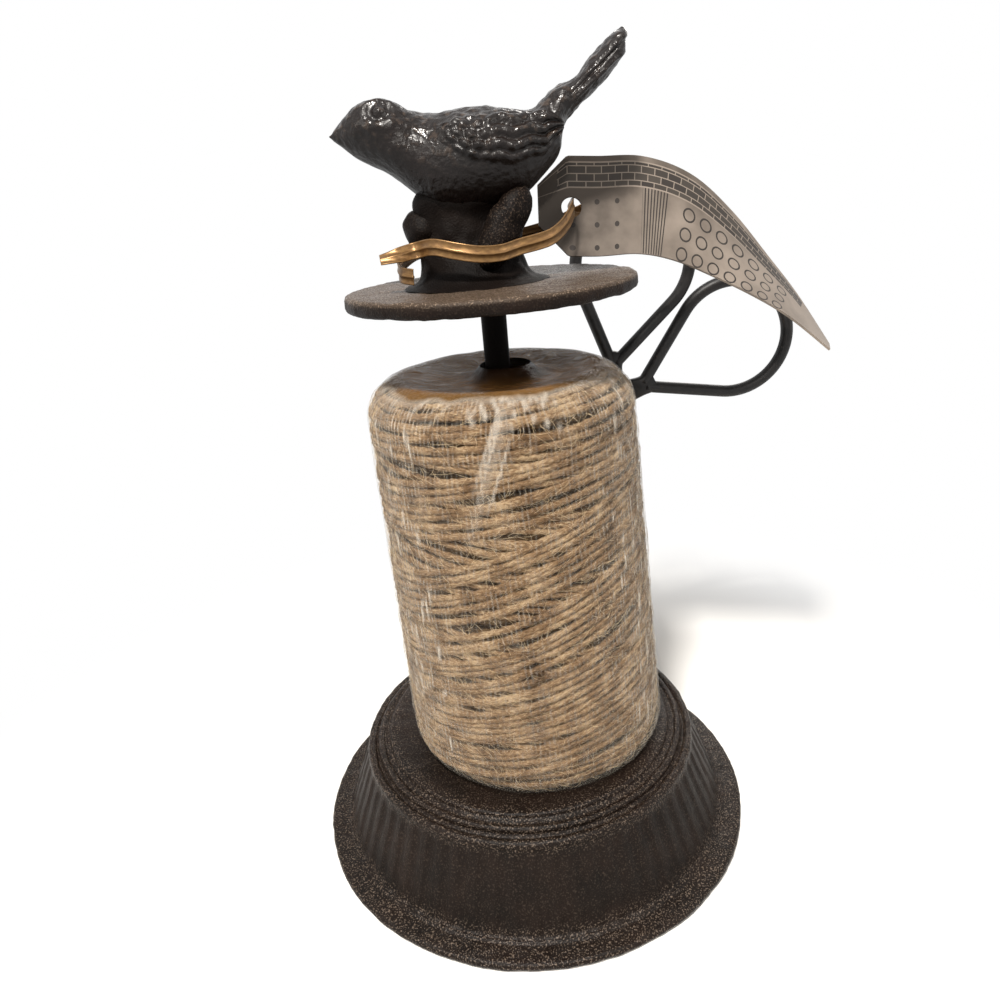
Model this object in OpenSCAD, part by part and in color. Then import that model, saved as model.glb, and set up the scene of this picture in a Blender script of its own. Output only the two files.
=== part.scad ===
// Twine stand: a fluted bell foot, an upright rod with a wound pack of jute twine on it,
// and a lift-off cap made of a round plate and a cast bird. A wire tie round the bird's legs
// carries a bent card tag and a pair of iron scissors. Millimetres, +Z up, origin at the
// centre of the foot on the table, bird facing -X.

/* [Bell foot] */
// Radius of the foot ring on the table
base_r = 70; // [66:0.5:85]
// Height of the deck above the table
base_h = 32; // [26:0.5:45]
// Radius of the flat deck under the twine
deck_r = 46.4; // [43:0.1:50]
// Thickness of the cast wall
base_wall = 4; // [3:0.1:6]
// Width of the flat ring that rests on the table
foot_ring_w = 8; // [6:0.1:10]
// Height of the rim band round the foot
rim_h = 3.2; // [2.6:0.1:5]
// Width of the rim band round the foot
rim_w = 6.7; // [5:0.1:9]
// Radius of the roll moulding above the flutes
roll_r = 1.5; // [1.2:0.1:2]
// Number of flutes round the flank
flute_count = 64; // [40:1:72]
// Radius of the cutter that hollows a flute
flute_r = 2.2; // [1.6:0.1:2.4]
// Depth of a flute
flute_depth = 0.6; // [0.3:0.1:0.9]
// Radius of the boss under the deck
hub_r = 10; // [8:0.5:14]
// Length of the boss bore
hub_h = 10; // [7:0.5:14]

/* [Rod] */
// Diameter of the rod
rod_d = 7; // [6:0.1:10]
// Width of the shoulder at each end of the rod
shoulder_w = 0.7; // [0.5:0.05:1]
// Length of the spigot that the cap drops over
spigot_len = 14; // [10:0.5:16]
// Thickness of the washer under the boss
washer_t = 1.5; // [1:0.1:2.5]
// Height of the hex nut under the washer
nut_h = 5; // [4:0.1:6]

/* [Twine] */
// Height of the twine pack
twine_h = 113; // [80:1:130]
// Radius of the inner pack near its foot
pack_r_low = 36.9; // [33:0.1:38]
// Radius of the inner pack near its top
pack_r_high = 33.9; // [31:0.1:38]
// Rounding of the pack's lower corner
low_corner = 5; // [3:0.5:7]
// Rounding of the pack's shoulder
shoulder_round = 9; // [6:0.5:12]
// Depth of the dished top
dish_depth = 7; // [3:0.5:10]
// Diameter of the twine strand
strand_d = 2.8; // [2:0.1:3.2]
// Highest number of turns in the outer layer
max_turns = 24; // [12:1:24]
// Swing of the turns up and down the pack
turn_wave = 4; // [0:0.5:4.5]
// Thickness of the clear film
film_t = 0.4; // [0.3:0.05:0.6]
// Inner radius of the card core
core_r = 11; // [9:0.5:14]
// Wall of the card core
core_wall = 1.5; // [1:0.1:2.5]
// Offset of the loose pack from the rod, to the right
pack_x = 2; // [-3:0.5:3]
// Offset of the loose pack from the rod, to the rear
pack_y = -2; // [-3:0.5:3]

/* [Cap] */
// Free height between the twine and the plate
head_room = 23; // [20:1:40]
// Radius of the plate
plate_r = 39; // [34:0.5:44]
// Thickness of the plate
plate_t = 4; // [3:0.1:6]
// Rounding of the plate's edge
plate_edge = 1.6; // [0.8:0.1:1.9]
// Length of the bird from beak to tail
bird_len = 75; // [65:1:85]
// Radius of the mound under the bird
mound_r = 15; // [13.5:0.5:16]
// Diameter of the two screws from below
screw_d = 3.5; // [3:0.1:4.5]
// Length of a screw above the plate
screw_grip = 6.5; // [4:0.5:7.5]

/* [Tie and tag] */
// Width of the wire tie
tie_w = 4; // [3:0.1:4.6]
// Thickness of the wire tie over its wire
tie_t = 0.9; // [0.6:0.05:1.2]
// Free space between the tie and the mound
tie_clear = 1.8; // [1.6:0.1:4]
// Width of the card tag
tag_w = 27; // [24:0.5:30]
// Thickness of the card
tag_t = 0.6; // [0.4:0.1:1]
// Diameter of the tag's hole
tag_hole_d = 5.6; // [5.4:0.1:7]
// Size of the tag's clipped corners
tag_clip = 8; // [5:0.5:10]

/* [Scissors] */
// Radius of a finger loop along its bar
loop_r = 18.6; // [16:0.1:20]
// Diameter of the loop bar
bar_d = 4; // [3:0.1:4.4]
// Distance of a loop's centre above the rivet
loop_reach = 40; // [36:0.5:46]
// Length of a blade from the rivet
blade_len = 63; // [55:1:95]
// Width of a blade near the rivet
blade_w = 9; // [7:0.5:12]
// Thickness of a blade
blade_t = 2; // [1.5:0.1:2.6]
// Diameter of the rivet
rivet_d = 4.9; // [4:0.1:6]
// Lean of the hanging scissors from level
scissor_lean = 51; // [40:1:65]

/* [Hidden] */
$fn = 64;

// Colours of the finishes
iron_brown = "#3a2f2b";
steel_dark = "#4a4744";
jute_tan = "#b59a78";
card_brown = "#8d7354";
film_clear = "#d8d2c6";
tie_gold = "#b08a4e";
tag_grey = "#a39d92";
scissor_black = "#2b2a2a";

// Clearances
seat_gap = 0.3;
slide_fit = 0.06;
bolt_fit = 0.1;
blade_gap = 0.1;
loop_gap = 0.6;
bar_gap = 0.8;
strand_gap = 0.9;
eps = 0.01;

// Levels along the axis
deck_z = base_h;
twine_low = deck_z + seat_gap;
twine_high = twine_low + twine_h;
plate_low = twine_high + head_room;
plate_top = plate_low + plate_t;

// Points of an arc in a half section
function arc(centre, radius, from, to, steps = 6) =
    [for (i = [0 : steps]) let (a = from + (to - from) * i / steps)
        centre + radius * [cos(a), sin(a)]];

function blend(a, b, k) = a + (b - a) * k;
function unit(v) = v / norm(v);
function flip(list) = [for (i = [len(list) - 1 : -1 : 0]) list[i]];

// Smooth curve through rows of numbers, steps points to a gap
function curve_at(p, q, r, s, k) =
    0.5 * (2 * q + (r - p) * k + (2 * p - 5 * q + 4 * r - s) * k * k
        + (3 * q - p - 3 * r + s) * k * k * k);
function smooth(rows, steps) = let (last = len(rows) - 1)
    [for (i = [0 : last - 1], j = [0 : steps - 1])
        curve_at(rows[max(i - 1, 0)], rows[i], rows[i + 1], rows[min(i + 2, last)], j / steps),
     rows[last]];

// Closed triangle skin over rings of points, each ring counter-clockwise seen from its far end
module skin(rings) {
    rows = len(rings);
    sides = len(rings[0]);
    walls = [for (i = [0 : rows - 2], j = [0 : sides - 1], upper = [false, true])
        let (a = i * sides + j, b = i * sides + (j + 1) % sides)
        upper ? [a, a + sides, b + sides] : [a, b + sides, b]];
    near_end = [for (j = [1 : sides - 2]) [0, j, j + 1]];
    top = (rows - 1) * sides;
    far_end = [for (j = [1 : sides - 2]) [top, top + j + 1, top + j]];
    polyhedron(points = [for (ring = rings) each ring], faces = concat(walls, near_end, far_end));
}

// Bell foot

// Half section levels and radii shared by the foot's mouldings
rim_edge = 1.4;
deck_edge = 1;
roll_out = 6.2;
roll_drop = 4.6;
step_out = 2.8;
step_drop = 2.5;
flank_low = [base_r - rim_w, rim_h];
roll_centre = [deck_r + roll_out, base_h - roll_drop];
flank_high = [roll_centre[0] + roll_r * 0.9, roll_centre[1] - roll_r * 0.7];
upper_roll_r = roll_r * 0.75;
upper_roll_centre = [deck_r + step_out, base_h - step_drop];
flank_lean = atan2(flank_low[0] - flank_high[0], flank_high[1] - flank_low[1]);
flank_len = norm(flank_high - flank_low);
flute_end = 1.2;
stub_r = rod_d / 2 - shoulder_w;
hub_low = deck_z - hub_h;

module bell_section() {
    ceiling_z = deck_z - base_wall;
    polygon(concat(
        [[base_r - foot_ring_w, 0]],
        arc([base_r - rim_edge, rim_edge], rim_edge, -90, 60),
        [flank_low, flank_high],
        arc(roll_centre, roll_r, -30, 140),
        arc(upper_roll_centre, upper_roll_r, -20, 140),
        arc([deck_r - deck_edge, deck_z - deck_edge], deck_edge, -20, 90),
        [[stub_r + bolt_fit, deck_z], [stub_r + bolt_fit, hub_low], [hub_r, hub_low],
         [hub_r, ceiling_z], [deck_r - base_wall / 2, ceiling_z],
         [flank_high[0] - base_wall, flank_high[1] - base_wall / 2],
         [flank_low[0] - base_wall, rim_h]]));
}

module flute() {
    middle = (flank_low + flank_high) / 2;
    length = flank_len - 2 * flute_end;
    translate([middle[0], 0, middle[1]])
        rotate([0, -flank_lean, 0])
            translate([flute_r - flute_depth, 0, -length / 2])
                cylinder(r = flute_r, h = length);
}

module base_bell() color(iron_brown) difference() {
    rotate_extrude() bell_section();
    for (i = [0 : flute_count - 1]) rotate([0, 0, 360 / flute_count * i]) flute();
}

// Rod and its fixing under the deck

washer_r = stub_r * 2.4;
nut_corner_r = stub_r * 2.05;
nut_low = hub_low - washer_t - nut_h;
stub_end = 2;
tip_chamfer = 0.6;

module spindle() color(iron_brown) rotate_extrude() polygon([
    [0, nut_low - stub_end], [stub_r - tip_chamfer, nut_low - stub_end],
    [stub_r, nut_low - stub_end + tip_chamfer], [stub_r, deck_z], [rod_d / 2, deck_z],
    [rod_d / 2, plate_low], [stub_r, plate_low], [stub_r, plate_low + spigot_len - tip_chamfer],
    [stub_r - tip_chamfer, plate_low + spigot_len], [0, plate_low + spigot_len]]);

module base_washer() color(steel_dark) translate([0, 0, hub_low - washer_t]) difference() {
    cylinder(r = washer_r, h = washer_t);
    translate([0, 0, -eps]) cylinder(r = stub_r + bolt_fit, h = washer_t + 2 * eps);
}

module base_nut() color(steel_dark) translate([0, 0, nut_low]) difference() {
    cylinder(r = nut_corner_r, h = nut_h, $fn = 6);
    translate([0, 0, -eps]) cylinder(r = stub_r + slide_fit, h = nut_h + 2 * eps);
}

// Twine pack

core_outer = core_r + core_wall;
rings_per_turn = 24;
// Depth by which a straight step of the strand cuts inside its round turn
step_sag = pack_r_low * (1 - cos(180 / rings_per_turn));
winding_grow = seat_gap + step_sag + strand_d / 2;
film_grow = winding_grow + strand_d / 2 + seat_gap;
corner_z = twine_low + low_corner;
shoulder_z = twine_high - shoulder_round;
dish_bend = 0.6;

// Side and top of the pack in half section, grown outwards
function pack_outline(grow) = let (foot_angle = asin(low_corner / (low_corner + grow))) concat(
    arc([pack_r_low - low_corner, corner_z], low_corner + grow, -foot_angle, 0),
    arc([pack_r_high - shoulder_round, shoulder_z], shoulder_round + grow, 0, 90),
    [[(pack_r_high - shoulder_round + core_outer) / 2, twine_high + grow - dish_depth * dish_bend],
     [core_outer + seat_gap, twine_high + grow - dish_depth]]);

// Share of the shoulder that the outer layer climbs
winding_share = 0.55;

// Radius of the outer layer's centre line at a height
function winding_r(z) =
    z < corner_z
        ? pack_r_low - low_corner + sqrt(pow(low_corner + winding_grow, 2) - pow(corner_z - z, 2))
    : z > shoulder_z
        ? pack_r_high - shoulder_round
            + sqrt(pow(shoulder_round + winding_grow, 2) - pow(z - shoulder_z, 2))
    : blend(pack_r_low, pack_r_high, (z - corner_z) / (shoulder_z - corner_z)) + winding_grow;

winding_low = twine_low + strand_d / 2 + 2 * seat_gap;
winding_high = shoulder_z + shoulder_round * winding_share;
turns = min(max_turns, floor((winding_high - winding_low) / (strand_d + strand_gap)));
strand_sides = 6;
tuck_r = strand_d * 1.2;
tuck_steps = 4;

function turn_z(turn) = blend(winding_low, winding_high, turn / turns)
    + turn_wave * pow(sin(180 * turn / turns), 2) * sin(720 * turn);
function turn_point(turn) = let (z = turn_z(turn), r = winding_r(z))
    [r * cos(360 * turn), r * sin(360 * turn), z];

// Points of a tucked end, from the blind face of its pocket out to the layer. The end runs
// straight inwards for one strand diameter, and side is -1 at the start and 1 at the finish.
function tuck(turn, side) = let (z = turn_z(turn), r = winding_r(z), a = 360 * turn,
        out = [cos(a), sin(a), 0], along = side * [-sin(a), cos(a), 0], foot = [0, 0, z])
    concat([foot + (r - tuck_r - strand_d) * out + tuck_r * along],
        [for (i = [0 : tuck_steps - 1]) let (b = 90 - 90 * i / tuck_steps)
            foot + (r - tuck_r + tuck_r * cos(b)) * out + tuck_r * sin(b) * along]);

winding_path = concat(tuck(0, -1),
    [for (i = [0 : turns * rings_per_turn]) turn_point(i / rings_per_turn)],
    flip(tuck(turns, 1)));

// Ring of points square to a path at one of its points. Its first point lies level, square to the
// strand, which is out from the pack wherever the strand runs round it
function strand_ring(path, i) = let (last = len(path) - 1,
        ahead = i < 2 ? path[1] - path[0] : i > last - 2 ? path[last] - path[last - 1]
            : path[i + 1] - path[i - 1],
        u = unit(cross(unit(ahead), [0, 0, 1])), v = cross(u, unit(ahead)))
    [for (j = [0 : strand_sides - 1]) let (a = -360 * j / strand_sides)
        path[i] + strand_d / 2 * (cos(a) * u + sin(a) * v)];

// Least gap between the layer's turns, measured on the points of its centre line
function nearest(path, from, to, i) = min([for (j = [from : to]) norm(path[j] - path[i])]);
function least_gap(path, apart) = let (last = len(path) - 1)
    min([for (i = [0 : last - apart]) nearest(path, i + apart, min(last, i + 3 * apart), i)])
        - strand_d;

module on_pack_axis() translate([pack_x, pack_y, 0]) children();

module twine_core_tube() color(card_brown) on_pack_axis() translate([0, 0, twine_low]) difference() {
    cylinder(r = core_outer, h = twine_h - dish_depth);
    translate([0, 0, -eps]) cylinder(r = core_r, h = twine_h);
}

// Pocket in the pack that takes a tucked end of the outer layer
module tuck_pocket(turn, side) {
    z = turn_z(turn);
    wide = strand_d + 4 * seat_gap;
    blind_r = winding_r(z) - tuck_r - strand_d - slide_fit;
    translate([0, 0, z]) rotate([0, 0, 360 * turn])
        translate([blind_r, side > 0 ? -wide / 2 : -tuck_r - wide / 2, -wide / 2])
            cube([tuck_r + 2 * strand_d, tuck_r + wide, wide]);
}

module twine_pack() color(jute_tan) on_pack_axis() difference() {
    rotate_extrude() polygon(concat([[core_outer + seat_gap, twine_low]], pack_outline(0)));
    tuck_pocket(0, -1);
    tuck_pocket(turns, 1);
}

module twine_winding() color(jute_tan) on_pack_axis() {
    echo(least_gap_between_turns = least_gap(winding_path, rings_per_turn / 2));
    skin([for (i = [0 : len(winding_path) - 1]) strand_ring(winding_path, i)]);
}

module shrink_film() color(film_clear, 0.4) on_pack_axis() rotate_extrude()
    polygon(concat(pack_outline(film_grow + film_t), flip(pack_outline(film_grow))));

// Cap: plate, bird and screws

mound_x = -4;
screw_back = 5;
screw_side = 7;
screw_places = [for (side = [-1, 1]) [mound_x - screw_back, side * screw_side]];
screw_head_r = screw_d;
screw_head_h = 2.2;

module on_cap() translate([0, 0, plate_top]) children();

module top_plate() color(iron_brown) difference() {
    rotate_extrude() polygon(concat(
        [[0, plate_low]],
        arc([plate_r - plate_edge, plate_low + plate_edge], plate_edge, -90, 0),
        arc([plate_r - plate_edge, plate_top - plate_edge], plate_edge, 0, 90),
        [[0, plate_top]]));
    translate([0, 0, plate_low - 1]) cylinder(r = stub_r + slide_fit, h = plate_t + 2);
    for (place = screw_places) translate([place[0], place[1], plate_low - 1])
        cylinder(d = screw_d + 2 * bolt_fit, h = plate_t + 2);
}

// Stations of the bird's body above the plate, beak to tail:
// top point x, z, bottom point x, z, and half width
bird_drawn_len = 75;
bird_stations = [
    [-37.2, 38.4, -37.2, 38.0, 0.3], [-34, 41.1, -34.4, 35.5, 2.6], [-29, 44.7, -29.6, 31.8, 5.8],
    [-24.5, 45.6, -24, 28.8, 8], [-20, 44.6, -19.5, 25.2, 8.8], [-15.5, 42, -15.8, 22, 9.2],
    [-10.5, 41.2, -11, 19, 10.8], [-4, 41.8, -4.5, 17.6, 12.6], [2.5, 41.8, 2.5, 17.8, 13],
    [8.5, 40.7, 9.5, 20, 12], [13.4, 40.1, 15, 24.3, 9.8], [17, 42.6, 20, 29.5, 7.4],
    [20.5, 45, 21.6, 36, 6], [24.2, 46.1, 25.1, 39.5, 5.4], [28.8, 50.2, 31.5, 44.3, 5.6],
    [33, 53.8, 35.6, 48.6, 5.4], [36, 55.6, 37.6, 53, 3.6], [37, 55.8, 37.6, 54.8, 0.6]];
bird_sides = 20;

function bird_ring(station) = let (k = bird_len / bird_drawn_len,
        high = [station[0], 0, station[1]], low = [station[2], 0, station[3]],
        middle = (high + low) / 2, half = (high - low) / 2)
    [for (j = [0 : bird_sides - 1]) let (a = 360 * j / bird_sides)
        k * (middle + half * cos(a) - [0, station[4] * sin(a), 0])];

// The front foot and the near leg, above the plate
front_foot = [-16.2, 3, 14.7];
front_foot_r = 5.2;
front_leg_r = 4.4;
front_leg_len = 10;
near_foot = [3.5, -9.2, 6.5];
near_foot_r = 4;
near_leg_r = [3.2, 4.4];
leg_len = 17;
leg_back = 17;
leg_in = -8;

// The mound's half section: share of its foot radius, and height
mound_rows = [[1, 0], [0.95, 3.5], [0.77, 8], [0.62, 13], [0.57, 17], [0.57, 21]];
mound_top = mound_rows[len(mound_rows) - 1][1];

module mound() translate([mound_x, 0, 0]) rotate_extrude() polygon(concat(
    [[0, 0]], [for (row = mound_rows) [mound_r * row[0], row[1]]], [[0, mound_top]]));

module bird() color(iron_brown) on_cap() difference() {
    union() {
        skin([for (station = smooth(bird_stations, 2)) bird_ring(station)]);
        mound();
        translate(front_foot) sphere(r = front_foot_r);
        translate(front_foot) rotate([0, 90, 0]) cylinder(r = front_leg_r, h = front_leg_len);
        translate(near_foot) sphere(r = near_foot_r);
        translate(near_foot) rotate([leg_in, leg_back, 0])
            cylinder(r1 = near_leg_r[0], r2 = near_leg_r[1], h = leg_len);
    }
    translate([0, 0, -1]) cylinder(r = stub_r + slide_fit, h = spigot_len - plate_t + 2);
    for (place = screw_places) translate([place[0], place[1], -1])
        cylinder(d = screw_d + 2 * slide_fit, h = screw_grip + 2);
}

module bird_screws() color(steel_dark) for (place = screw_places)
    translate([place[0], place[1], plate_low]) {
        cylinder(d = screw_d, h = plate_t + screw_grip);
        translate([0, 0, -screw_head_h]) cylinder(r = screw_head_r, h = screw_head_h);
    }

// Card tag, above the plate

// Stations of the tag: centre x, y, z, lean of its width from upright, and sideways lean
tag_stations = [[14.5, 8, 17.7, 22, 0.05], [30, 9, 16.2, 21, 0.08], [43, 10.5, 15.4, 24, 0.12],
    [55, 12.5, 11.2, 34, 0.3], [67, 15.5, 3.2, 51, 0.42], [79.5, 19, -7, 70, 0.46],
    [91, 22, -17.3, 84, 0.46], [103.5, 24, -31, 98, 0.42]];
tag_steps = 3;
tag_hole = [23.5, 8.6, 16.4];

function tag_across(row) = unit([row[4], sin(row[3]), cos(row[3])]);
function tag_point(row) = [row[0], row[1], row[2]];
function tag_half(row) = let (run = row[0] - tag_stations[0][0])
    tag_w / 2 - max(0, tag_clip - run);
function tag_ring(rows, i) = let (row = rows[i], last = len(rows) - 1, across = tag_across(row),
        ahead = unit(tag_point(rows[min(i + 1, last)]) - tag_point(rows[max(i - 1, 0)])),
        face = unit(cross(across, ahead)) * tag_t / 2, side = across * tag_half(row))
    [tag_point(row) - side - face, tag_point(row) - side + face,
     tag_point(row) + side + face, tag_point(row) + side - face];

module hang_tag() color(tag_grey) on_cap() difference() {
    rows = smooth(tag_stations, tag_steps);
    skin([for (i = [0 : len(rows) - 1]) tag_ring(rows, i)]);
    translate(tag_hole) rotate([90 - tag_stations[0][3], 0, 0])
        translate([0, 0, -3]) cylinder(d = tag_hole_d, h = 6);
}

// Wire tie, above the plate

// Middle of the loop bar where the tie carries the scissors
hang_point = [46.5, plate_r + 6, 15.9];
bar_turn_r = bar_d / 2 + bar_gap + tie_t / 2;
wrap_r = mound_r + tie_clear;
function wrap_point(angle, z) = [mound_x + wrap_r * cos(angle), wrap_r * sin(angle), z];

tie_route = concat(
    [[-27, -12.5, 8.6], [-23, -12, 9.2]],
    [wrap_point(214, 10), wrap_point(236, 10.6), wrap_point(256, 9.4), wrap_point(276, 8.2),
     wrap_point(296, 8), wrap_point(316, 8.8)],
    [[16, -8.5, 10.2], [20.6, -3.4, 13], [23.4, 2, 16.6], tag_hole, [24, 15, 13.6]],
    [for (step = [[-12, -20, -1.4], [-4, -10, -0.6], [0, -4, 0]])
        hang_point + step - [0, 0, bar_turn_r]],
    [for (a = [-90 : 30 : 90]) hang_point + bar_turn_r * [0, cos(a), sin(a)]],
    [for (step = [[0, -4, 0], [-5, -11, -0.6], [-16, -19, -3.2]])
        hang_point + step + [0, 0, bar_turn_r]],
    [[18, 20.5, 11.6], wrap_point(62, 9.4), wrap_point(90, 8.6), wrap_point(118, 8.6),
     wrap_point(146, 8.8), wrap_point(172, 8.2)],
    [[-23.2, -5, 6.2], [-22.6, -10.5, 4.6], [-19, -14.5, 4]]);
tie_steps = 2;
tie_edge = 0.35;

// The ribbon stands on edge round the mound and turns flat as it nears the bar
function tie_across(point) = let (flat = max(0, min(1, (point[1] - 12) / (hang_point[1] - 17))))
    unit(blend([0, 0, 1], [1, 0, 0], flat));
function tie_ring(path, i) = let (last = len(path) - 1,
        ahead = unit(path[min(i + 1, last)] - path[max(i - 1, 0)]),
        wide = tie_across(path[i]), across = unit(wide - (wide * ahead) * ahead),
        face = cross(ahead, across), u = across * tie_w / 2, v = face * tie_t / 2)
    [for (corner = [[-1, -tie_edge], [0, -1], [1, -tie_edge], [1, tie_edge], [0, 1], [-1, tie_edge]])
        path[i] + corner[0] * u + corner[1] * v];

module twist_tie() color(tie_gold) on_cap() {
    path = smooth(tie_route, tie_steps);
    skin([for (i = [0 : len(path) - 1]) tie_ring(path, i)]);
}

// Scissors: drawn flat with the handles along +X and the rivet at the origin

loop_out = loop_r + bar_d / 2 + loop_gap;
loop_centre = [loop_reach, loop_out];
neck = [9.6, 6.2];
shank_root = 4;
shank_tip = 3;
neck_run = loop_centre - neck;
neck_angle = atan2(neck_run[1], neck_run[0]);
neck_spread = asin(loop_r / norm(neck_run));
strand_start = bar_d * 0.9;
web_t = bar_d * 0.85;
loop_steps = 26;
bar_sides = 10;
boss_r = rivet_d / 2 + 3.2;
head_r = rivet_d * 0.8;
head_h = 1.2;
stack = blade_t + blade_gap / 2;

// Outline of a blade: shares of its length and of its width
blade_rows = [[0, 0.33], [-0.15, 0.25], [-1, 0.07], [-0.99, -0.08], [-0.77, -0.42],
    [-0.4, -0.7], [-0.12, -0.77], [0, -0.55]];

// A blade and its shank, with the handle on the +Y side
module blade_outline() {
    square_to = [-neck[1], neck[0]] / norm(neck);
    circle(r = boss_r);
    polygon([neck + shank_tip * square_to, neck - shank_tip * square_to,
        -shank_root * square_to, shank_root * square_to]);
    polygon([for (row = blade_rows) [blade_len * row[0], blade_w * row[1]]]);
}

// Centre line of a finger loop, out along one straight strand, round, and back along the other
function along(angle) = [cos(angle), sin(angle)];
function raised(point) = [point[0], point[1], 0];
loop_swing = 90 + neck_spread;
loop_path = concat(
    [raised(neck + strand_start * along(neck_angle + neck_spread))],
    [for (i = [0 : loop_steps]) let (a = neck_angle + loop_swing * (1 - 2 * i / loop_steps))
        raised(loop_centre + loop_r * along(a))],
    [raised(neck + strand_start * along(neck_angle - neck_spread))]);

function bar_ring(path, i) = let (last = len(path) - 1,
        ahead = unit(path[min(i + 1, last)] - path[max(i - 1, 0)]),
        u = [0, 0, 1], v = cross(ahead, u))
    [for (j = [0 : bar_sides - 1]) let (a = 360 * j / bar_sides)
        path[i] + bar_d / 2 * (cos(a) * u + sin(a) * v)];

// The loop's bar and the forged web where its two strands meet the shank
module finger_loop() {
    web = [for (side = [1, -1]) let (a = neck_angle + side * neck_spread)
        neck + 2 * strand_start * along(a) + bar_d / 4 * along(a + side * 90)];
    skin([for (i = [0 : len(loop_path) - 1]) bar_ring(loop_path, i)]);
    linear_extrude(web_t, center = true)
        polygon([neck - bar_d / 2 * unit(neck_run), web[1], web[0]]);
}

module scissor_half() difference() {
    union() {
        translate([0, 0, blade_gap / 2]) linear_extrude(blade_t) blade_outline();
        finger_loop();
    }
    translate([0, 0, -stack]) cylinder(d = rivet_d + 2 * slide_fit, h = 2 * stack + 1);
}

// Highest point of the upper loop once the scissors lean, in the flat drawing
hang_drawn = loop_centre + loop_r * [sin(scissor_lean), cos(scissor_lean)];
module hung() on_cap() translate(hang_point) rotate([0, -scissor_lean, 0]) rotate([90, 0, 0])
    translate([-hang_drawn[0], -hang_drawn[1], 0]) children();

module scissor_half_a() color(scissor_black) hung() scissor_half();

module scissor_half_b() color(scissor_black) hung() rotate([180, 0, 0]) scissor_half();

module scissor_rivet() color(steel_dark) hung() {
    translate([0, 0, -stack - blade_gap]) cylinder(d = rivet_d, h = 2 * stack + blade_gap);
    translate([0, 0, stack]) cylinder(r = head_r, h = head_h);
    translate([0, 0, -stack - blade_gap - head_h]) cylinder(r = head_r, h = head_h);
}

base_bell();
base_washer();
base_nut();
spindle();
twine_core_tube();
twine_pack();
twine_winding();
shrink_film();
top_plate();
bird();
bird_screws();
twist_tie();
hang_tag();
scissor_half_a();
scissor_half_b();
scissor_rivet();
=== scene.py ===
import bpy
import numpy as np
from mathutils import Matrix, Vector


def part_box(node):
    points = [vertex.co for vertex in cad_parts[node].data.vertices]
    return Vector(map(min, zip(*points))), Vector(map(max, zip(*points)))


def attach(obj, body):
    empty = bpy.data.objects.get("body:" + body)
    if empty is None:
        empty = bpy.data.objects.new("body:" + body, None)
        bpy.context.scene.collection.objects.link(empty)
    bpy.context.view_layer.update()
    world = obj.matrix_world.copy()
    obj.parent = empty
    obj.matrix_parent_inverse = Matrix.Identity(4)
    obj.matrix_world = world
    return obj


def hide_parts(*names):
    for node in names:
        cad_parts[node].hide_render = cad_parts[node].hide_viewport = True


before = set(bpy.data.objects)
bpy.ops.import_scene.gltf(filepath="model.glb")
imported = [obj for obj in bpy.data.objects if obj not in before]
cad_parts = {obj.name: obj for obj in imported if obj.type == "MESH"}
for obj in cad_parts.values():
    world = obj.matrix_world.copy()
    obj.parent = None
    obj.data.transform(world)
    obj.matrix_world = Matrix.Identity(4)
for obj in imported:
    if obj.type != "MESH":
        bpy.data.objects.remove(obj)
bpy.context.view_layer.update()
MM = 0.001

# Camera
# It stands in front of the bird and a little above the plate, looks down on the foot
# and leans to one side, as a hand-held picture does.
camera_place = np.array([0, -208.95, 192.57]) * MM
camera_pitch = np.radians(21.80)
camera_roll = np.radians(-5.18)
camera_yaw = np.radians(-0.76)
camera_lens = 27
camera_sensor = 36

ahead = np.array([np.sin(camera_yaw) * np.cos(camera_pitch),
                  np.cos(camera_yaw) * np.cos(camera_pitch),
                  -np.sin(camera_pitch)])
level_right = np.array([np.cos(camera_yaw), -np.sin(camera_yaw), 0])
level_up = np.cross(level_right, ahead)
camera_right = np.cos(camera_roll) * level_right + np.sin(camera_roll) * level_up
camera_up = np.cos(camera_roll) * level_up - np.sin(camera_roll) * level_right
camera = bpy.data.objects.new("camera", bpy.data.cameras.new("camera"))
camera.data.lens = camera_lens
camera.data.sensor_width = camera_sensor
camera.data.clip_start = 0.01
camera_axes = np.column_stack([camera_right, camera_up, -ahead, camera_place])
camera.matrix_world = Matrix([*camera_axes.tolist(), [0, 0, 0, 1]])
bpy.context.scene.collection.objects.link(camera)
bpy.context.scene.camera = camera

# Bell foot
# A hollow iron bell, sand-cast in one piece, with a flat rim, shallow upright flutes and
# two roll mouldings round the deck. It is sprayed with a grainy dark brown paint.


def linear(colour):
    """Linear red, green, blue and alpha of an sRGB hex colour."""
    parts = np.array([int(colour[i:i + 2], 16) for i in (1, 3, 5)]) / 255
    low = parts / 12.92
    high = ((parts + 0.055) / 1.055) ** 2.4
    return (*np.where(parts <= 0.04045, low, high).tolist(), 1.0)


def feed(tree, node, inputs):
    """Give a node's inputs their values or links."""
    for name, value in inputs.items():
        if isinstance(value, bpy.types.NodeSocket):
            tree.links.new(value, node.inputs[name])
        else:
            node.inputs[name].default_value = value


def add_node(tree, kind, inputs=None, **settings):
    """One shader node: settings are its own properties, and inputs give a value or a link."""
    node = tree.nodes.new(kind)
    for name, value in settings.items():
        setattr(node, name, value)
    feed(tree, node, inputs or {})
    return node


def new_material(name):
    """A material with an empty node tree, its Principled shader and its output."""
    material = bpy.data.materials.new(name)
    material.use_nodes = True
    tree = material.node_tree
    tree.nodes.clear()
    shader = add_node(tree, "ShaderNodeBsdfPrincipled")
    output = add_node(tree, "ShaderNodeOutputMaterial")
    tree.links.new(shader.outputs["BSDF"], output.inputs["Surface"])
    return material, tree, shader


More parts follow.
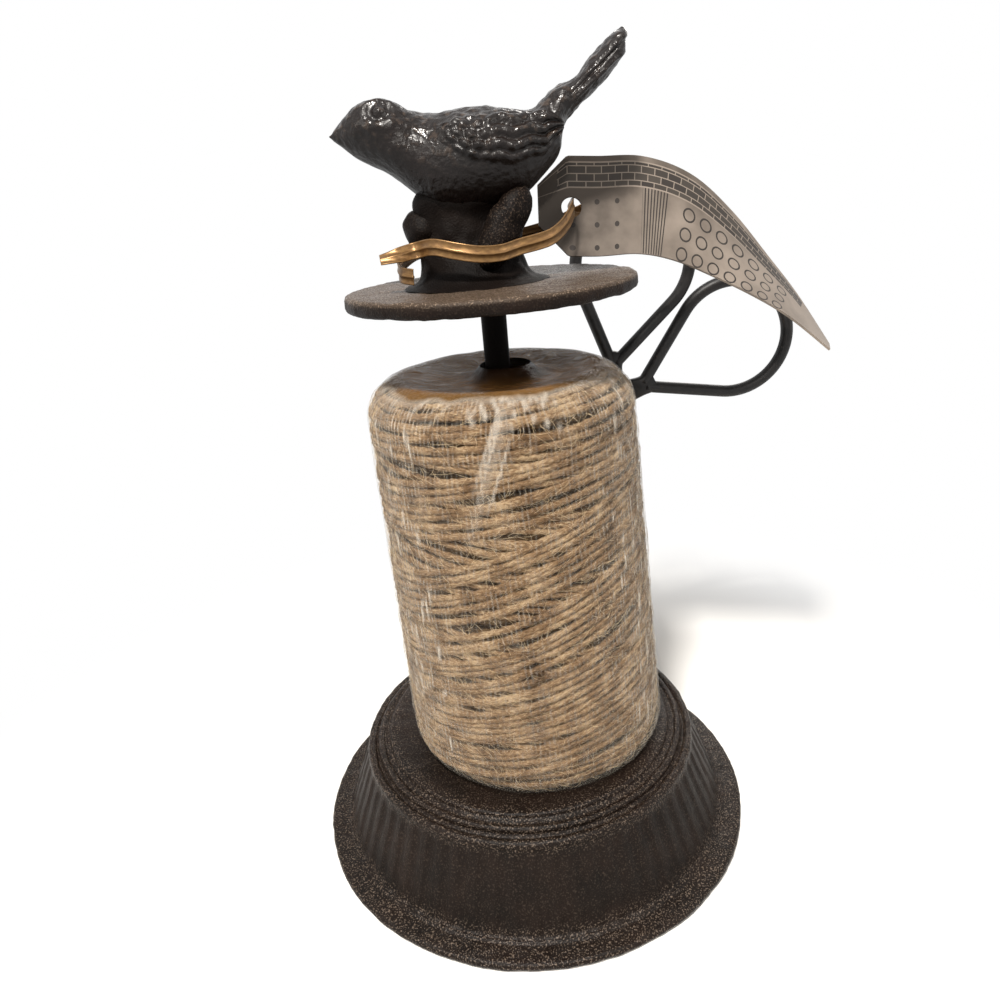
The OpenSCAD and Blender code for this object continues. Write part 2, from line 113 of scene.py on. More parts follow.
def colour_ramp(tree, factor, stops):
    """Colour output of a ramp whose stops are pairs of place and hex colour."""
    ramp = add_node(tree, "ShaderNodeValToRGB", {"Fac": factor})
    elements = ramp.color_ramp.elements
    while len(elements) < len(stops):
        elements.new(1.0)
    for element, (place, colour) in zip(elements, stops):
        element.position = place
        element.color = linear(colour)
    return ramp.outputs["Color"]


def coordinates(tree, kind):
    """The surface's Object or UV coordinates."""
    return add_node(tree, "ShaderNodeTexCoord").outputs[kind]


def point_field(tree, name):
    """Value of a named attribute of the mesh's points."""
    return add_node(tree, "ShaderNodeAttribute", attribute_name=name).outputs["Fac"]


def noise(tree, place, scale, detail, **more):
    """Cloudy value from 0 to 1; more gives the noise's other inputs."""
    inputs = {"Vector": place, "Scale": scale, "Detail": detail, **more}
    return add_node(tree, "ShaderNodeTexNoise", inputs).outputs["Fac"]


def maths(tree, operation, *values):
    """Result of one maths node."""
    return add_node(tree, "ShaderNodeMath", dict(enumerate(values)), operation=operation).outputs["Value"]


def ranged(tree, value, low, high, to_low=0.0, to_high=1.0, **settings):
    """A value whose range from low to high is mapped to another range, and held at its ends."""
    inputs = {"Value": value, "From Min": low, "From Max": high, "To Min": to_low, "To Max": to_high}
    return add_node(tree, "ShaderNodeMapRange", inputs, **settings).outputs["Result"]


def laid_over(tree, under, share, over):
    """A colour laid over another by a share from 0 to 1."""
    inputs = {"Factor": share, "A": under, "B": over}
    return add_node(tree, "ShaderNodeMix", inputs, data_type="RGBA").outputs["Result"]


def bumped(tree, shader, height, depth, strength=1.0):
    """Fine grain on a shader's surface, of a depth in millimetres."""
    bump = add_node(tree, "ShaderNodeBump", {"Height": height, "Strength": strength, "Distance": depth * MM})
    tree.links.new(bump.outputs["Normal"], shader.inputs["Normal"])


def unit(vectors):
    """The same vectors with length 1."""
    return vectors / np.maximum(np.linalg.norm(vectors, axis=-1, keepdims=True), 1e-12)


def round_angles(count):
    """Equal angles of one full turn, without its end."""
    return np.linspace(0, 2 * np.pi, count, endpoint=False)


def run_along(line):
    """Distance along a line from its start to each of its points."""
    return np.concatenate([[0], np.cumsum(np.linalg.norm(np.diff(line, axis=0), axis=1))])


cell_mix = np.array([127.1, 311.7, 74.7])
cell_spread = 43758.5453


def rough(points, size):
    """Value noise from -1 to 1: a smooth mix of fixed random heights at the corners of cells."""
    cell = points / size
    corner_low = np.floor(cell)
    part = cell - corner_low
    part = part * part * (3 - 2 * part)
    total = np.zeros(points.shape[:-1])
    for corner in np.ndindex(2, 2, 2):
        seed = np.sin((corner_low + corner) @ cell_mix) * cell_spread
        weight = np.prod(np.where(corner, part, 1 - part), axis=-1)
        total += weight * (seed - np.floor(seed))
    return 2 * total - 1


def cast_relief(points, *layers):
    """Uneven skin of a sand casting: layers of noise, each with its height and the size of its cells."""
    return sum(height * rough(points, size) for height, size in layers)


def normals_of(points, closed_rows=False, closed_columns=True):
    """Unit normals of a grid: the cross product of its two directions of central differences."""
    def difference(axis, closed):
        if closed:
            return np.roll(points, -1, axis) - np.roll(points, 1, axis)
        return np.gradient(points, axis=axis)
    return unit(np.cross(difference(1, closed_columns), difference(0, closed_rows)))


def grid_faces(rows, columns, closed_rows, closed_columns):
    """Corner numbers of the quads of a grid, and the grid places of those corners."""
    row, column = np.meshgrid(np.arange(rows - (not closed_rows)),
                              np.arange(columns - (not closed_columns)), indexing="ij")
    steps = np.array([[0, 0], [0, 1], [1, 1], [1, 0]])
    places = np.stack([row, column], -1)[:, :, None, :] + steps
    quads = (places[..., 0] % rows) * columns + places[..., 1] % columns
    return quads.reshape(-1, 4), places.reshape(-1, 4, 2)


def grid_piece(name, grids, material, closed_rows=False, closed_columns=True, capped=False,
               cell=(1.0, 1.0), fields=None):
    """A mesh object from one or more grids of points in millimetres.

    Rows and columns become quads, a closed direction joins its end to its start, and capped
    fills the first and last rows. cell is the UV size of one grid step. fields gives named
    attributes with one value for each point.
    """
    points, quads, places, caps, count = [], [], [], [], 0
    for grid in grids:
        rows, columns = grid.shape[:2]
        faces, corners = grid_faces(rows, columns, closed_rows, closed_columns)
        points.append(grid.reshape(-1, 3))
        quads.append(faces + count)
        places.append(corners)
        if capped:
            caps.append(np.arange(columns)[::-1] + count)
            caps.append(np.arange(columns) + count + (rows - 1) * columns)
        count += rows * columns
    points = np.concatenate(points) * MM
    quads = np.concatenate(quads)
    uv = np.concatenate(places).reshape(-1, 2) * np.array(cell)
    corners = np.concatenate([quads.ravel(), *caps])
    sizes = np.array([4] * len(quads) + [len(cap) for cap in caps])
    mesh = bpy.data.meshes.new(name)
    mesh.vertices.add(len(points))
    mesh.vertices.foreach_set("co", points.astype(np.float32).ravel())
    mesh.loops.add(len(corners))
    mesh.loops.foreach_set("vertex_index", corners.astype(np.int32))
    mesh.polygons.add(len(sizes))
    starts = np.cumsum(sizes) - sizes
    mesh.polygons.foreach_set("loop_start", starts.astype(np.int32))
    layer = mesh.uv_layers.new(name="UVMap")
    padded = np.zeros((len(corners), 2))
    padded[:len(uv)] = uv
    layer.data.foreach_set("uv", padded.astype(np.float32).ravel())
    mesh.update(calc_edges=True)
    mesh.shade_smooth()
    for field_name, values in (fields or {}).items():
        field = mesh.attributes.new(field_name, "FLOAT", "POINT")
        field.data.foreach_set("value", values.astype(np.float32).ravel())
    piece = bpy.data.objects.new(name, mesh)
    piece.data.materials.append(material)
    bpy.context.scene.collection.objects.link(piece)
    return piece


def arc(centre, radius, start, end, steps=8):
    """Points of a circular arc in a half section, angles in degrees."""
    angle = np.radians(np.linspace(start, end, steps))
    return np.column_stack([centre[0] + radius * np.cos(angle), centre[1] + radius * np.sin(angle)])


def spaced(outline, step, closed=True):
    """The same outline with points at equal steps along its length."""
    line = np.vstack([outline, outline[:1]]) if closed else np.asarray(outline)
    run = run_along(line)
    places = np.linspace(0, run[-1], int(run[-1] / step) + 1)
    places = places[:-1] if closed else places
    return np.column_stack([np.interp(places, run, line[:, i]) for i in range(line.shape[1])])


def revolved(outline, columns):
    """Grid of points of a half section turned about the upright axis; rows follow the section."""
    angle = round_angles(columns)
    radius, height = outline[:, :1], outline[:, 1:]
    return np.stack([radius * np.cos(angle), radius * np.sin(angle), height + 0 * angle], -1)


def grainy_paint(name, dark, brown, speck, grit, bead_h, dull, shine, specular, dust_and_sheen=0.0):
    """Grainy brown paint on cast iron, sprayed so that it dries in fine beads: a near-black brown whose
    beads turn smoother where the point attribute for wear and light is high. There the bead tops are
    also painted paler, as painted glints, so that faces which catch the light look lighter. The last
    argument is the share of pale brown laid over there: settled dust that also stands in as painted
    sheen."""
    material, tree, shader = new_material(name)
    place = coordinates(tree, "Object")
    cloud = noise(tree, place, 1 / (12 * MM), 3.0)
    beads = noise(tree, place, 1 / (grit * MM), 2.0)
    worn_and_lit = point_field(tree, "worn_and_lit")
    settled_dust_and_sheen = maths(tree, "MULTIPLY", worn_and_lit, dust_and_sheen)
    glint = maths(tree, "MULTIPLY", ranged(tree, beads, 0.54, 0.72), worn_and_lit)
    polish = maths(tree, "MULTIPLY", ranged(tree, beads, 0.38, 0.58), worn_and_lit)
    tone = colour_ramp(tree, cloud, [(0.35, dark), (0.7, brown)])
    # Pale brown where the share for wear and light is high: settled dust, and painted sheen
    tone = laid_over(tree, tone, settled_dust_and_sheen, linear("#8b7765"))
    # Paler bead tops there: painted glints
    tone = laid_over(tree, tone, glint, linear(speck))
    feed(tree, shader, {"Base Color": tone, "Specular IOR Level": specular,
                        "Roughness": ranged(tree, polish, 0, 1, dull, shine)})
    bumped(tree, shader, beads, bead_h)
    return material


brown_paint = grainy_paint("grainy_paint_on_cast_iron", "#0e0805", "#1a110c", "#7f7063", 0.45, 0.2,
                           0.5, 0.25, 0.13)

foot_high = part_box("base_bell")[1]
foot_r = foot_high.x / MM
deck_z = foot_high.z / MM
rim_h = 3.2
rim_w = 6.7
rim_edge = 1.4
foot_ring_w = 8
wall = 4
deck_r = 46.4
roll_r = 1.5
roll_centre = np.array([deck_r + 6.2, deck_z - 4.6])
step_r = 1.125
step_centre = np.array([deck_r + 2.8, deck_z - 2.5])
hub_r = 10
hub_z = deck_z - 10
hole_r = 2.9
lip_r = 0.6
flute_count = 64
flute_depth = 0.6
flute_half_w = 1.5
foot_columns = 620
flank_low = np.array([foot_r - rim_w, rim_h])
flank_high = roll_centre + roll_r * np.array([0.9, -0.7])

rim_line = np.vstack([
    [[foot_r - foot_ring_w, 0]],
    arc((foot_r - rim_edge, rim_edge), rim_edge, -90, 60),
    arc(flank_low, lip_r, 0, 130)])
moulding_line = np.vstack([
    arc(roll_centre, roll_r, -35, 165),
    arc(step_centre, step_r, -35, 165),
    arc((deck_r - 1, deck_z - 1), 1, -20, 90)])
under_line = np.array([
    moulding_line[-1], [hole_r, deck_z], [hole_r, hub_z], [hub_r, hub_z], [hub_r, deck_z - wall],
    [deck_r - wall / 2, deck_z - wall], flank_high - [wall, wall / 2],
    [flank_low[0] - wall, rim_h], rim_line[0]])
foot_outline = np.vstack([
    spaced(rim_line, 0.5, closed=False),
    spaced([rim_line[-1], moulding_line[0]], 1.2, closed=False)[1:-1],
    spaced(moulding_line, 0.45, closed=False),
    spaced(under_line, 3, closed=False)[1:-1]])
foot_grid = revolved(foot_outline, foot_columns)
foot_out = normals_of(foot_grid, closed_rows=True)


def flute_relief(grid):
    """Depth of the flutes: a round trough at each of equal angles, along the flank only."""
    radius = np.hypot(grid[..., 0], grid[..., 1])
    turn = np.arctan2(grid[..., 1], grid[..., 0]) * flute_count / (2 * np.pi)
    across = np.abs(turn - np.round(turn)) * 2 * np.pi * radius / flute_count
    share = (grid[..., 2] - flank_low[1]) / (flank_high[1] - flank_low[1])
    flank_r = flank_low[0] + share * (flank_high[0] - flank_low[0])
    on_flank = (np.abs(radius - flank_r) < 1) * np.clip(8 * share, 0, 1) * np.clip(12 * (1 - share), 0, 1)
    return flute_depth * on_flank * np.sqrt(np.clip(1 - (across / flute_half_w) ** 2, 0, 1))


foot_cast = cast_relief(foot_grid, (0.1, 1.6), (0.16, 4), (0.2, 13))
foot_cast *= np.clip(foot_grid[..., 2] / 0.8, 0, 1)
foot_grid = foot_grid + foot_out * (foot_cast - flute_relief(foot_grid))[..., None]
# Share for wear and light: high on the rim and the roll mouldings, which face the lamp, and low on the flank,
# so the paler bead tops there are painted glints
worn_and_lit_heights = [rim_h + 1, rim_h + 4, deck_z - 7, deck_z - 5.5]
foot_share = np.interp(foot_outline[:, 1], worn_and_lit_heights, [0.8, 0.15, 0.15, 0.8])
foot_share = np.where(foot_outline[:, 0] < deck_r - 2, 0.35, foot_share)
foot_worn_and_lit = foot_share[:, None] + np.zeros(foot_grid.shape[:2])
foot = grid_piece("bell_foot", [foot_grid], brown_paint, closed_rows=True, fields={"worn_and_lit": foot_worn_and_lit})
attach(foot, "stand")
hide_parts("base_bell")

# Rod, nut and washer
# The rod is turned steel in a plain black paint, with a shouldered stub at each end.
# A plain washer and a hex nut under the deck clamp it, and they are left dark and dull.


def paint_node(name, material):
    """Give a piece that is kept as the frame made it a material."""
    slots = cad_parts[name].data.materials
    slots.clear()
    slots.append(material)


rod_paint = grainy_paint("black_paint_on_turned_rod", "#070403", "#0e0906", "#1c1510", 0.5, 0.08,
                         0.55, 0.4, 0.06)
paint_node("spindle", rod_paint)


def clouded(tree, shader, cloud, dark, light, smooth, dull):
    """A surface whose colour and roughness drift together with a cloudy value."""
    feed(tree, shader, {"Base Color": colour_ramp(tree, cloud, [(0.3, dark), (0.7, light)]),
                        "Roughness": ranged(tree, cloud, 0, 1, smooth, dull)})


def dull_steel(name, dark, light):
    """Dull steel with a thin dark oxide, as bought screws have: cloudy grey with soft glints."""
    material, tree, shader = new_material(name)
    cloud = noise(tree, coordinates(tree, "Object"), 1 / (1.5 * MM), 4.0)
    clouded(tree, shader, cloud, dark, light, 0.35, 0.6)
    shader.inputs["Metallic"].default_value = 0.9
    return material


oxide_steel = dull_steel("oxide_steel", "#2c2a29", "#4c4846")
for name in ("base_washer", "base_nut", "bird_screws", "scissor_rivet"):
    paint_node(name, oxide_steel)

# Twine core and inner pack
# Jute twine is wound on a card tube that drops loosely over the rod. The inner pack is the
# mass of turns under the outer ones, dark between them, with a deep dished top.
pack_low, pack_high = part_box("twine_pack")
pack_axis = np.array([(pack_low.x + pack_high.x) / 2, (pack_low.y + pack_high.y) / 2, 0]) / MM
pack_foot = pack_low.z / MM
pack_top = pack_high.z / MM
turns_r_low = 37.3
turns_r_high = 34.7
low_corner = 5
shoulder = 8
core_r = 12.8
dish_depth = 18
side_low = pack_foot + low_corner + 1.7
side_high = pack_top - shoulder + 1
sag_low = 1.6
sag_high = -2.3
pack_lift = 0.7
still_r = 14
still_fade = 14
pack_step = 1.6
pack_columns = 240

pack_side = np.vstack([
    [[core_r, pack_foot + pack_lift]],
    arc((turns_r_low - low_corner, side_low), low_corner - 1, -90, 0),
    arc((turns_r_high - shoulder, side_high), shoulder - 1, 0, 80, 12),
    [[26, pack_top - 0.6], [21, pack_top - 3.4], [17.5, pack_top - 8], [15.4, pack_top - 13],
     [core_r, pack_top - dish_depth]]])


def leaned(points):
    """The same points on a sagged pack: its top has moved to one side and its foot to the other,
    while the middle keeps clear of the rod."""
    share = np.clip((points[..., 2] - pack_foot) / (pack_top - pack_foot), 0, 1)
    outside = np.clip((np.hypot(points[..., 0], points[..., 1]) - still_r) / still_fade, 0, 1)
    moved = points + pack_axis
    moved[..., 0] += outside * (sag_low + share * (sag_high - sag_low))
    return moved


def stretched_uv(tree, along_scale, across_scale):
    """UV coordinates scaled apart along and across a piece, for streaks."""
    inputs = {"Vector": coordinates(tree, "UV"), "Scale": (along_scale, across_scale, 1.0)}
    return add_node(tree, "ShaderNodeMapping", inputs).outputs["Vector"]


def jute(name, dark, middle, light):
    """Spun jute: coarse dull fibres that run along the ply, tan with darker and straw-pale ones."""
    material, tree, shader = new_material(name)
    fibre = noise(tree, stretched_uv(tree, 0.8, 14.0), 1.0, 5.0, Roughness=0.7)
    cloud = noise(tree, coordinates(tree, "Object"), 1 / (7 * MM), 3.0)
    mix = add_node(tree, "ShaderNodeMix", {"Factor": 0.4, "A": fibre, "B": cloud}, data_type="FLOAT")
    tone = colour_ramp(tree, mix.outputs["Result"], [(0.36, dark), (0.5, middle), (0.64, light)])
    feed(tree, shader, {"Base Color": tone, "Roughness": 0.8, "Specular IOR Level": 0.12})
    bumped(tree, shader, fibre, 0.4)
    return material


jute_outer = jute("spun_jute", "#3a2818", "#7a6045", "#b39c7c")
jute_inner = jute("spun_jute_in_shade", "#2c1e12", "#4b3824", "#705a3d")

pack_grid = revolved(spaced(pack_side, pack_step), pack_columns)
pack_out = normals_of(pack_grid, closed_rows=True)
pack_grid = leaned(pack_grid + pack_out * (0.35 * rough(pack_grid, 3))[..., None])
pack = grid_piece("twine_inner_pack", [pack_grid], jute_inner, closed_rows=True, cell=(pack_step, 0.06))
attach(pack, "twine")
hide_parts("twine_pack")

core_card = jute("brown_card", "#241a11", "#362a1d", "#493a2a")
paint_node("twine_core_tube", core_card)

# Outer turns of twine
# Three yarns of jute are twisted into one strand, and its last turns lie over the pack in
# groups that tilt one way and the other, so that each group crosses the one beneath it.
strand_r = 1.12
ply_pitch = 9.0
ring_step = 1.2
strand_sides = 9
tuck_turns = 0.06
tuck_depth = 1.6
wound_side = np.vstack([
    arc((turns_r_low - low_corner, side_low), low_corner, -75, 0),
    arc((turns_r_high - shoulder, side_high), shoulder, 0, 90, 12),
    [[24.5, pack_top + 0.6], [20.5, pack_top - 2], [17, pack_top - 6.5], [15.5, pack_top - 11]]])
wound_run = run_along(wound_side)
wound_len = wound_run[-1]


def on_side(place):
    """Radius and height at a place along the wound pack's side."""
    return np.stack([np.interp(place, wound_run, wound_side[:, i]) for i in (0, 1)])


def wound_point(turn, along, lift):
    """Point of a turn: its place along the pack's side, moved out by lift, at an angle in turns."""
    reach = 1.5
    place = np.clip(along, 0, wound_len)
    radius, height = on_side(place)
    rise_r, rise_z = on_side(place + reach) - on_side(place - reach)
    length = np.hypot(rise_r, rise_z)
    radius = radius + lift * rise_z / length
    height = height - lift * rise_r / length
    angle = 2 * np.pi * turn
    return np.stack([radius * np.cos(angle), radius * np.sin(angle), height], -1)


def strand(start, turns, pitch, tilt, phase, lift):
    """Path of one group of turns: a helix whose height also swings once a turn by tilt, with
    small wanders of its own, and whose two ends dip under the neighbours."""
    turn = np.linspace(0, turns, int(turns * 2 * np.pi * turns_r_low / ring_step))
    wander = (0.55 * np.sin(2 * np.pi * (turn * 1.37 + phase * 5))
              + 0.45 * np.sin(2 * np.pi * (turn * 2.61 + start)))
    along = start + pitch * turn + tilt * np.sin(2 * np.pi * (turn - phase)) + wander
    tuck = np.clip(np.minimum(turn, turns - turn) / tuck_turns, 0, 1)
    return wound_point(turn, along, lift - tuck_depth * (1 - tuck))


def twisted(path):
    """Grid of a three-yarn strand: a ring with three lobes that turns as it goes along the path,
    and that swells and thins as hand-spun jute does."""
    ahead_of = unit(np.gradient(path, axis=0))
    side = unit(np.cross(ahead_of, unit(path * [1, 1, 0])))
    outward = np.cross(side, ahead_of)
    angle = round_angles(strand_sides)
    run = np.arange(len(path))[:, None] * ring_step
    lobes = strand_r * (0.86 + 0.15 * np.cos(3 * (angle - 2 * np.pi * run / ply_pitch)))
    lobes = lobes * (1 + 0.14 * np.sin(run / 7.3) * np.sin(run / 3.1))
    ring = np.cos(angle)[:, None] * outward[:, None] + np.sin(angle)[:, None] * side[:, None]
    return leaned(path[:, None] + lobes[..., None] * ring)


under_pitch = 2.2
under_turns = int(wound_len / under_pitch)
half_turns = under_turns // 2
under_low = strand(0, half_turns, under_pitch, 0.8, 0.2, 0.1)
under_high = strand(half_turns * under_pitch, under_turns - half_turns, under_pitch, 0.8, 0.2, 0.1)
# Each group has its start along the side, turns, tilt, phase and lift
groups = [
    (0.5, 6, 0.6, 0.7, 0.9), (9, 7, 6, 0.75, 1.6), (17, 7, -7, 0.72, 1.0), (25, 7, 10, 0.78, 1.6),
    (36, 6, -9, 0.72, 1.0), (42, 7, 12, 0.76, 1.6), (54, 6, -9, 0.8, 1.0), (61, 7, 12, 0.74, 1.6),
    (72, 7, -7, 0.74, 1.1), (82, 7, 6, 0.72, 1.6), (93, 6, -4, 0.78, 1.2), (101, 6, 2.5, 0.7, 1.6),
    (111, 6, -1, 0.3, 1.1)]
group_pitch = 2.4
over = [strand(low, turns, group_pitch, tilt, phase, lift) for low, turns, tilt, phase, lift in groups]
turn_pieces = {"twine_turns_under_low": ([under_low], jute_inner),
               "twine_turns_under_high": ([under_high], jute_inner),
               "twine_turns_low": (over[:4], jute_outer),
               "twine_turns_middle": (over[4:9], jute_outer),
               "twine_turns_high": (over[9:], jute_outer)}
for name, (paths, material) in turn_pieces.items():
    turns_piece = grid_piece(name, [twisted(path) for path in paths], material, capped=True,
                             cell=(ring_step, 1 / strand_sides))
    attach(turns_piece, "twine")
    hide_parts("twine_winding")

# Loose fibres
# Jute sheds short pale fibres. They stand off the strands, and the film presses them flat.
fibre_count = 6500
fibre_r = 0.05
fibre_rings = 5
fibre_seed = 11


def fibres(seed):
    """Grids of thin three-sided hairs: each starts at a random place on the turns and runs a few
    millimetres mostly along them, bending as it goes."""
    draw = np.random.default_rng(seed)
    share = np.linspace(0, 1, fibre_rings)
    start = draw.uniform(1, 0.88 * wound_len, (fibre_count, 1))
    turn = draw.uniform(0, 1, (fibre_count, 1))
    heading = draw.normal(0, 0.6, (fibre_count, 1)) + draw.normal(0, 0.9, (fibre_count, 1)) * share
    length = draw.uniform(2, 8, (fibre_count, 1)) * share
    lift = draw.uniform(2.2, 2.8, (fibre_count, 1)) - 0.9 * (1 - share) ** 2
    path = wound_point(turn + length * np.cos(heading) / (2 * np.pi * turns_r_low),
                       start + length * np.sin(heading), lift)
    across = np.array([[0, 0, 1], [0.87, 0, -0.5], [-0.87, 0, -0.5]])
    taper = fibre_r * (1.1 - 0.6 * share)[:, None, None]
    return leaned(path[:, :, None] + taper * across)


straw, straw_tree, straw_shader = new_material("loose_jute_fibre")
feed(straw_tree, straw_shader, {"Base Color": linear("#ccb48e"), "Roughness": 0.6})
fuzz = grid_piece("twine_fuzz", list(fibres(fibre_seed)), straw, capped=True)
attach(fuzz, "twine")

# Clear film
# A thin clear sleeve is shrunk round the twine. It is drawn over the dished top and gathers
# round the rod, and it creases where it gathers.
film_lift = 3.0
film_t = 0.12
film_hole_r = 7.2
film_side = np.vstack([
    arc((turns_r_low - low_corner, side_low), low_corner + film_lift, -45, 0),
    arc((turns_r_high - shoulder, side_high), shoulder + film_lift, 0, 85, 14),
    [[22, pack_top + 3], [16, pack_top + 1.6], [10.5, pack_top + 2], [film_hole_r, pack_top + 5]]])
film_step = 1.6
rib_pitch = 1.25
film_line = spaced(film_side, film_step, closed=False)
film_columns = 520
film_grid = revolved(film_line, film_columns)
film_out = normals_of(film_grid)
film_angle = round_angles(film_columns)[None, :]
film_run = np.arange(len(film_line))[:, None] * film_step


def creases(count, low, high, first, last, slant, width, length, seed):
    """Narrow ridges along the film's side, from 0 to 1: each stands at its own angle in degrees
    and place along the side, leans by slant and fades at its ends."""
    draw = np.random.default_rng(seed)
    total = np.zeros(film_grid.shape[:2])
    for angle, start, reach in zip(draw.uniform(first, last, count), draw.uniform(low, high, count),
                                   length * draw.uniform(0.5, 1.5, count)):
        away = np.radians(angle) + slant * (film_run - start) / 40 - film_angle
        away = np.abs((away + np.pi) % (2 * np.pi) - np.pi) * turns_r_low
        fade = np.clip(1 - np.abs(film_run - start) / reach, 0, 1)
        total = np.maximum(total, np.exp(-(away / width) ** 2) * np.sqrt(fade))
    return total


# Milky creases; the ones at the front of the shoulder are also painted highlights
film_crease_and_glint = np.maximum.reduce([
    creases(70, 12, 112, -48, 15, 0.06, 0.3, 2.6, 3),
    creases(30, 10, 110, 195, 232, -0.08, 0.3, 2.6, 4),
    creases(80, 10, 112, 15, 195, 0.1, 0.3, 3, 5),
    0.65 * creases(5, 97, 107, -97, -93, 0.44, 0.3, 13, 7),
    0.2 * creases(2, 99, 103, -95.5, -94.5, 0.44, 1.3, 16, 8),
    0.7 * creases(7, 110, 118, -98, -68, 2.2, 0.6, 3, 10),
    0.7 * creases(6, 109, 117, -96, -70, -2.0, 0.6, 3, 13),
    0.4 * creases(16, 112, 122, -160, 20, 0.9, 0.3, 5, 12)])
film_puff = 0.25 * film_crease_and_glint + cast_relief(film_grid, (0.2, 9), (0.12, 4))
film_end = film_run[-1, 0]
# Place along the side, with noise: it sets the painted shade over the top, which deepens towards the rod
film_shade_run = film_run + 2 * rough(film_grid, 11) + 1.5 * rough(film_grid, 4)
dish_shade_places = [film_end - 27, film_end - 20, film_end - 8, film_end - 2]
film_dish_shade = np.interp(film_shade_run, dish_shade_places, [0, 0.6, 0.6, 1])
film_degrees = np.degrees(film_angle)
right_away = (film_degrees + 190) % 360 - 180
left_away = film_degrees - 212
gathered = np.maximum(np.exp(-(right_away / 45) ** 2), 0.7 * np.exp(-(left_away / 26) ** 2))
film_gather = (film_dish_shade < 0.1) * np.maximum(gathered, 0.2)
film_grid = leaned(film_grid + film_out * film_puff[..., None])


def clear_film(name):
    """Shrunk packing film: almost clear, with milky creases, fine upright stretch lines where it is
    gathered, and a faint haze where it is seen edge on. The creases at the front of the shoulder are
    made milky also as painted highlights. Over the dished top it is made more opaque and painted
    brown, darkening to near black at the rod, as painted shade of the dark hollow under it."""
    material, tree, shader = new_material(name)
    uv = coordinates(tree, "UV")
    dish_shade = point_field(tree, "dish_shade")
    crinkle = noise(tree, coordinates(tree, "Object"), 1 / (5 * MM), 6.0, Roughness=0.6, Distortion=1.2)
    # A wave texture's bands are 2 pi / 20 apart at a scale of 1
    ribs = add_node(tree, "ShaderNodeTexWave",
                    {"Vector": uv, "Scale": 2 * np.pi / (20 * rib_pitch), "Distortion": 3.0, "Detail": 2.0,
                     "Detail Scale": 0.6}, bands_direction="Y").outputs["Fac"]
    patches = ranged(tree, noise(tree, uv, 0.3, 3.0), 0.42, 0.62)
    lines = maths(tree, "MULTIPLY", ranged(tree, ribs, 0.6, 1.0), patches)
    streaks = maths(tree, "MULTIPLY", lines, point_field(tree, "gather"))
    edge = add_node(tree, "ShaderNodeLayerWeight", {"Blend": 0.2}).outputs["Facing"]
    cover = maths(tree, "MULTIPLY_ADD", edge, 0.14, ranged(tree, crinkle, 0.5, 0.8, 0.0, 0.04))
    cover = maths(tree, "MULTIPLY_ADD", streaks, 0.42, cover)
    cover = maths(tree, "ADD", cover, ranged(tree, dish_shade, 0.0, 0.6, 0.0, 0.8))
    cover = maths(tree, "MULTIPLY_ADD", point_field(tree, "crease_and_glint"), 0.4, cover)
    # Milky on the side; over the top brown that darkens to near black at the rod, as painted shade
    tone = colour_ramp(tree, dish_shade, [(0.0, "#efe6d8"), (0.25, "#80603a"), (0.65, "#7a552d"), (1.0, "#2a1c12")])
    feed(tree, shader, {"Base Color": tone, "Roughness": 0.14, "Specular IOR Level": 0.05, "Alpha": cover})
    bumped(tree, shader, crinkle, 1.6)
    return material


film = grid_piece("shrunk_film", [film_grid], clear_film("clear_packing_film"),
                  cell=(film_step, 2 * np.pi * turns_r_low / film_columns),
                  fields={"crease_and_glint": film_crease_and_glint, "gather": film_gather, "dish_shade": film_dish_shade})
film_body = film.modifiers.new("film_body", "SOLIDIFY")
film_body.thickness = film_t * MM
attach(film, "twine")
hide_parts("shrink_film")

# Cap plate
# A flat round cast plate with a rounded edge that sits on the rod's upper shoulder. It
# carries the bird and has the foot's grainy paint. Its top is laid over with pale brown, partly
# settled dust and partly painted sheen, with paler bead tops as painted glints.
plate_low, plate_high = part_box("top_plate")
plate_r = plate_high.x / MM
plate_z = plate_low.z / MM
plate_top = plate_high.z / MM
plate_edge = 1.1
plate_step = 0.8
plate_columns = 420
plate_outline = np.vstack([
    [[hole_r, plate_z]],
    arc((plate_r - plate_edge, plate_z + plate_edge), plate_edge, -90, 0),
    arc((plate_r - plate_edge, plate_top - plate_edge), plate_edge, 0, 90),
    [[hole_r, plate_top]]])
plate_grid = revolved(spaced(plate_outline, plate_step), plate_columns)
plate_cast = cast_relief(plate_grid, (0.12, 1.6), (0.2, 5), (0.25, 14))
plate_grid = plate_grid + normals_of(plate_grid, closed_rows=True) * plate_cast[..., None]
plate_paint = grainy_paint("dusty_paint_with_painted_sheen_on_cast_plate", "#0d0705", "#160d09", "#8f7d6c", 0.45, 0.2,
                           0.5, 0.25, 0.1, dust_and_sheen=0.2)
# Share for wear and light: high on the top, for pale dust with painted sheen and painted glints, low on the
# edge
plate_worn_and_lit = np.clip((plate_grid[..., 2] - plate_top + 1.3) / 0.7, 0.05, 0.9)
plate = grid_piece("cap_plate", [plate_grid], plate_paint, closed_rows=True, fields={"worn_and_lit": plate_worn_and_lit})
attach(plate, "cap")
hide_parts("top_plate")

# Bird
# A small cast songbird on a low mound, with folded wings in raised feathers, a cocked tail
# and a ring round each eye. It is one iron casting. The bird's up-facing faces have smoother paint
# with paler bead tops, partly as painted glints, and its wing grooves are left darker as painted
# shade; the mound and legs have a darker copy of the paint, as painted shade under the bird.

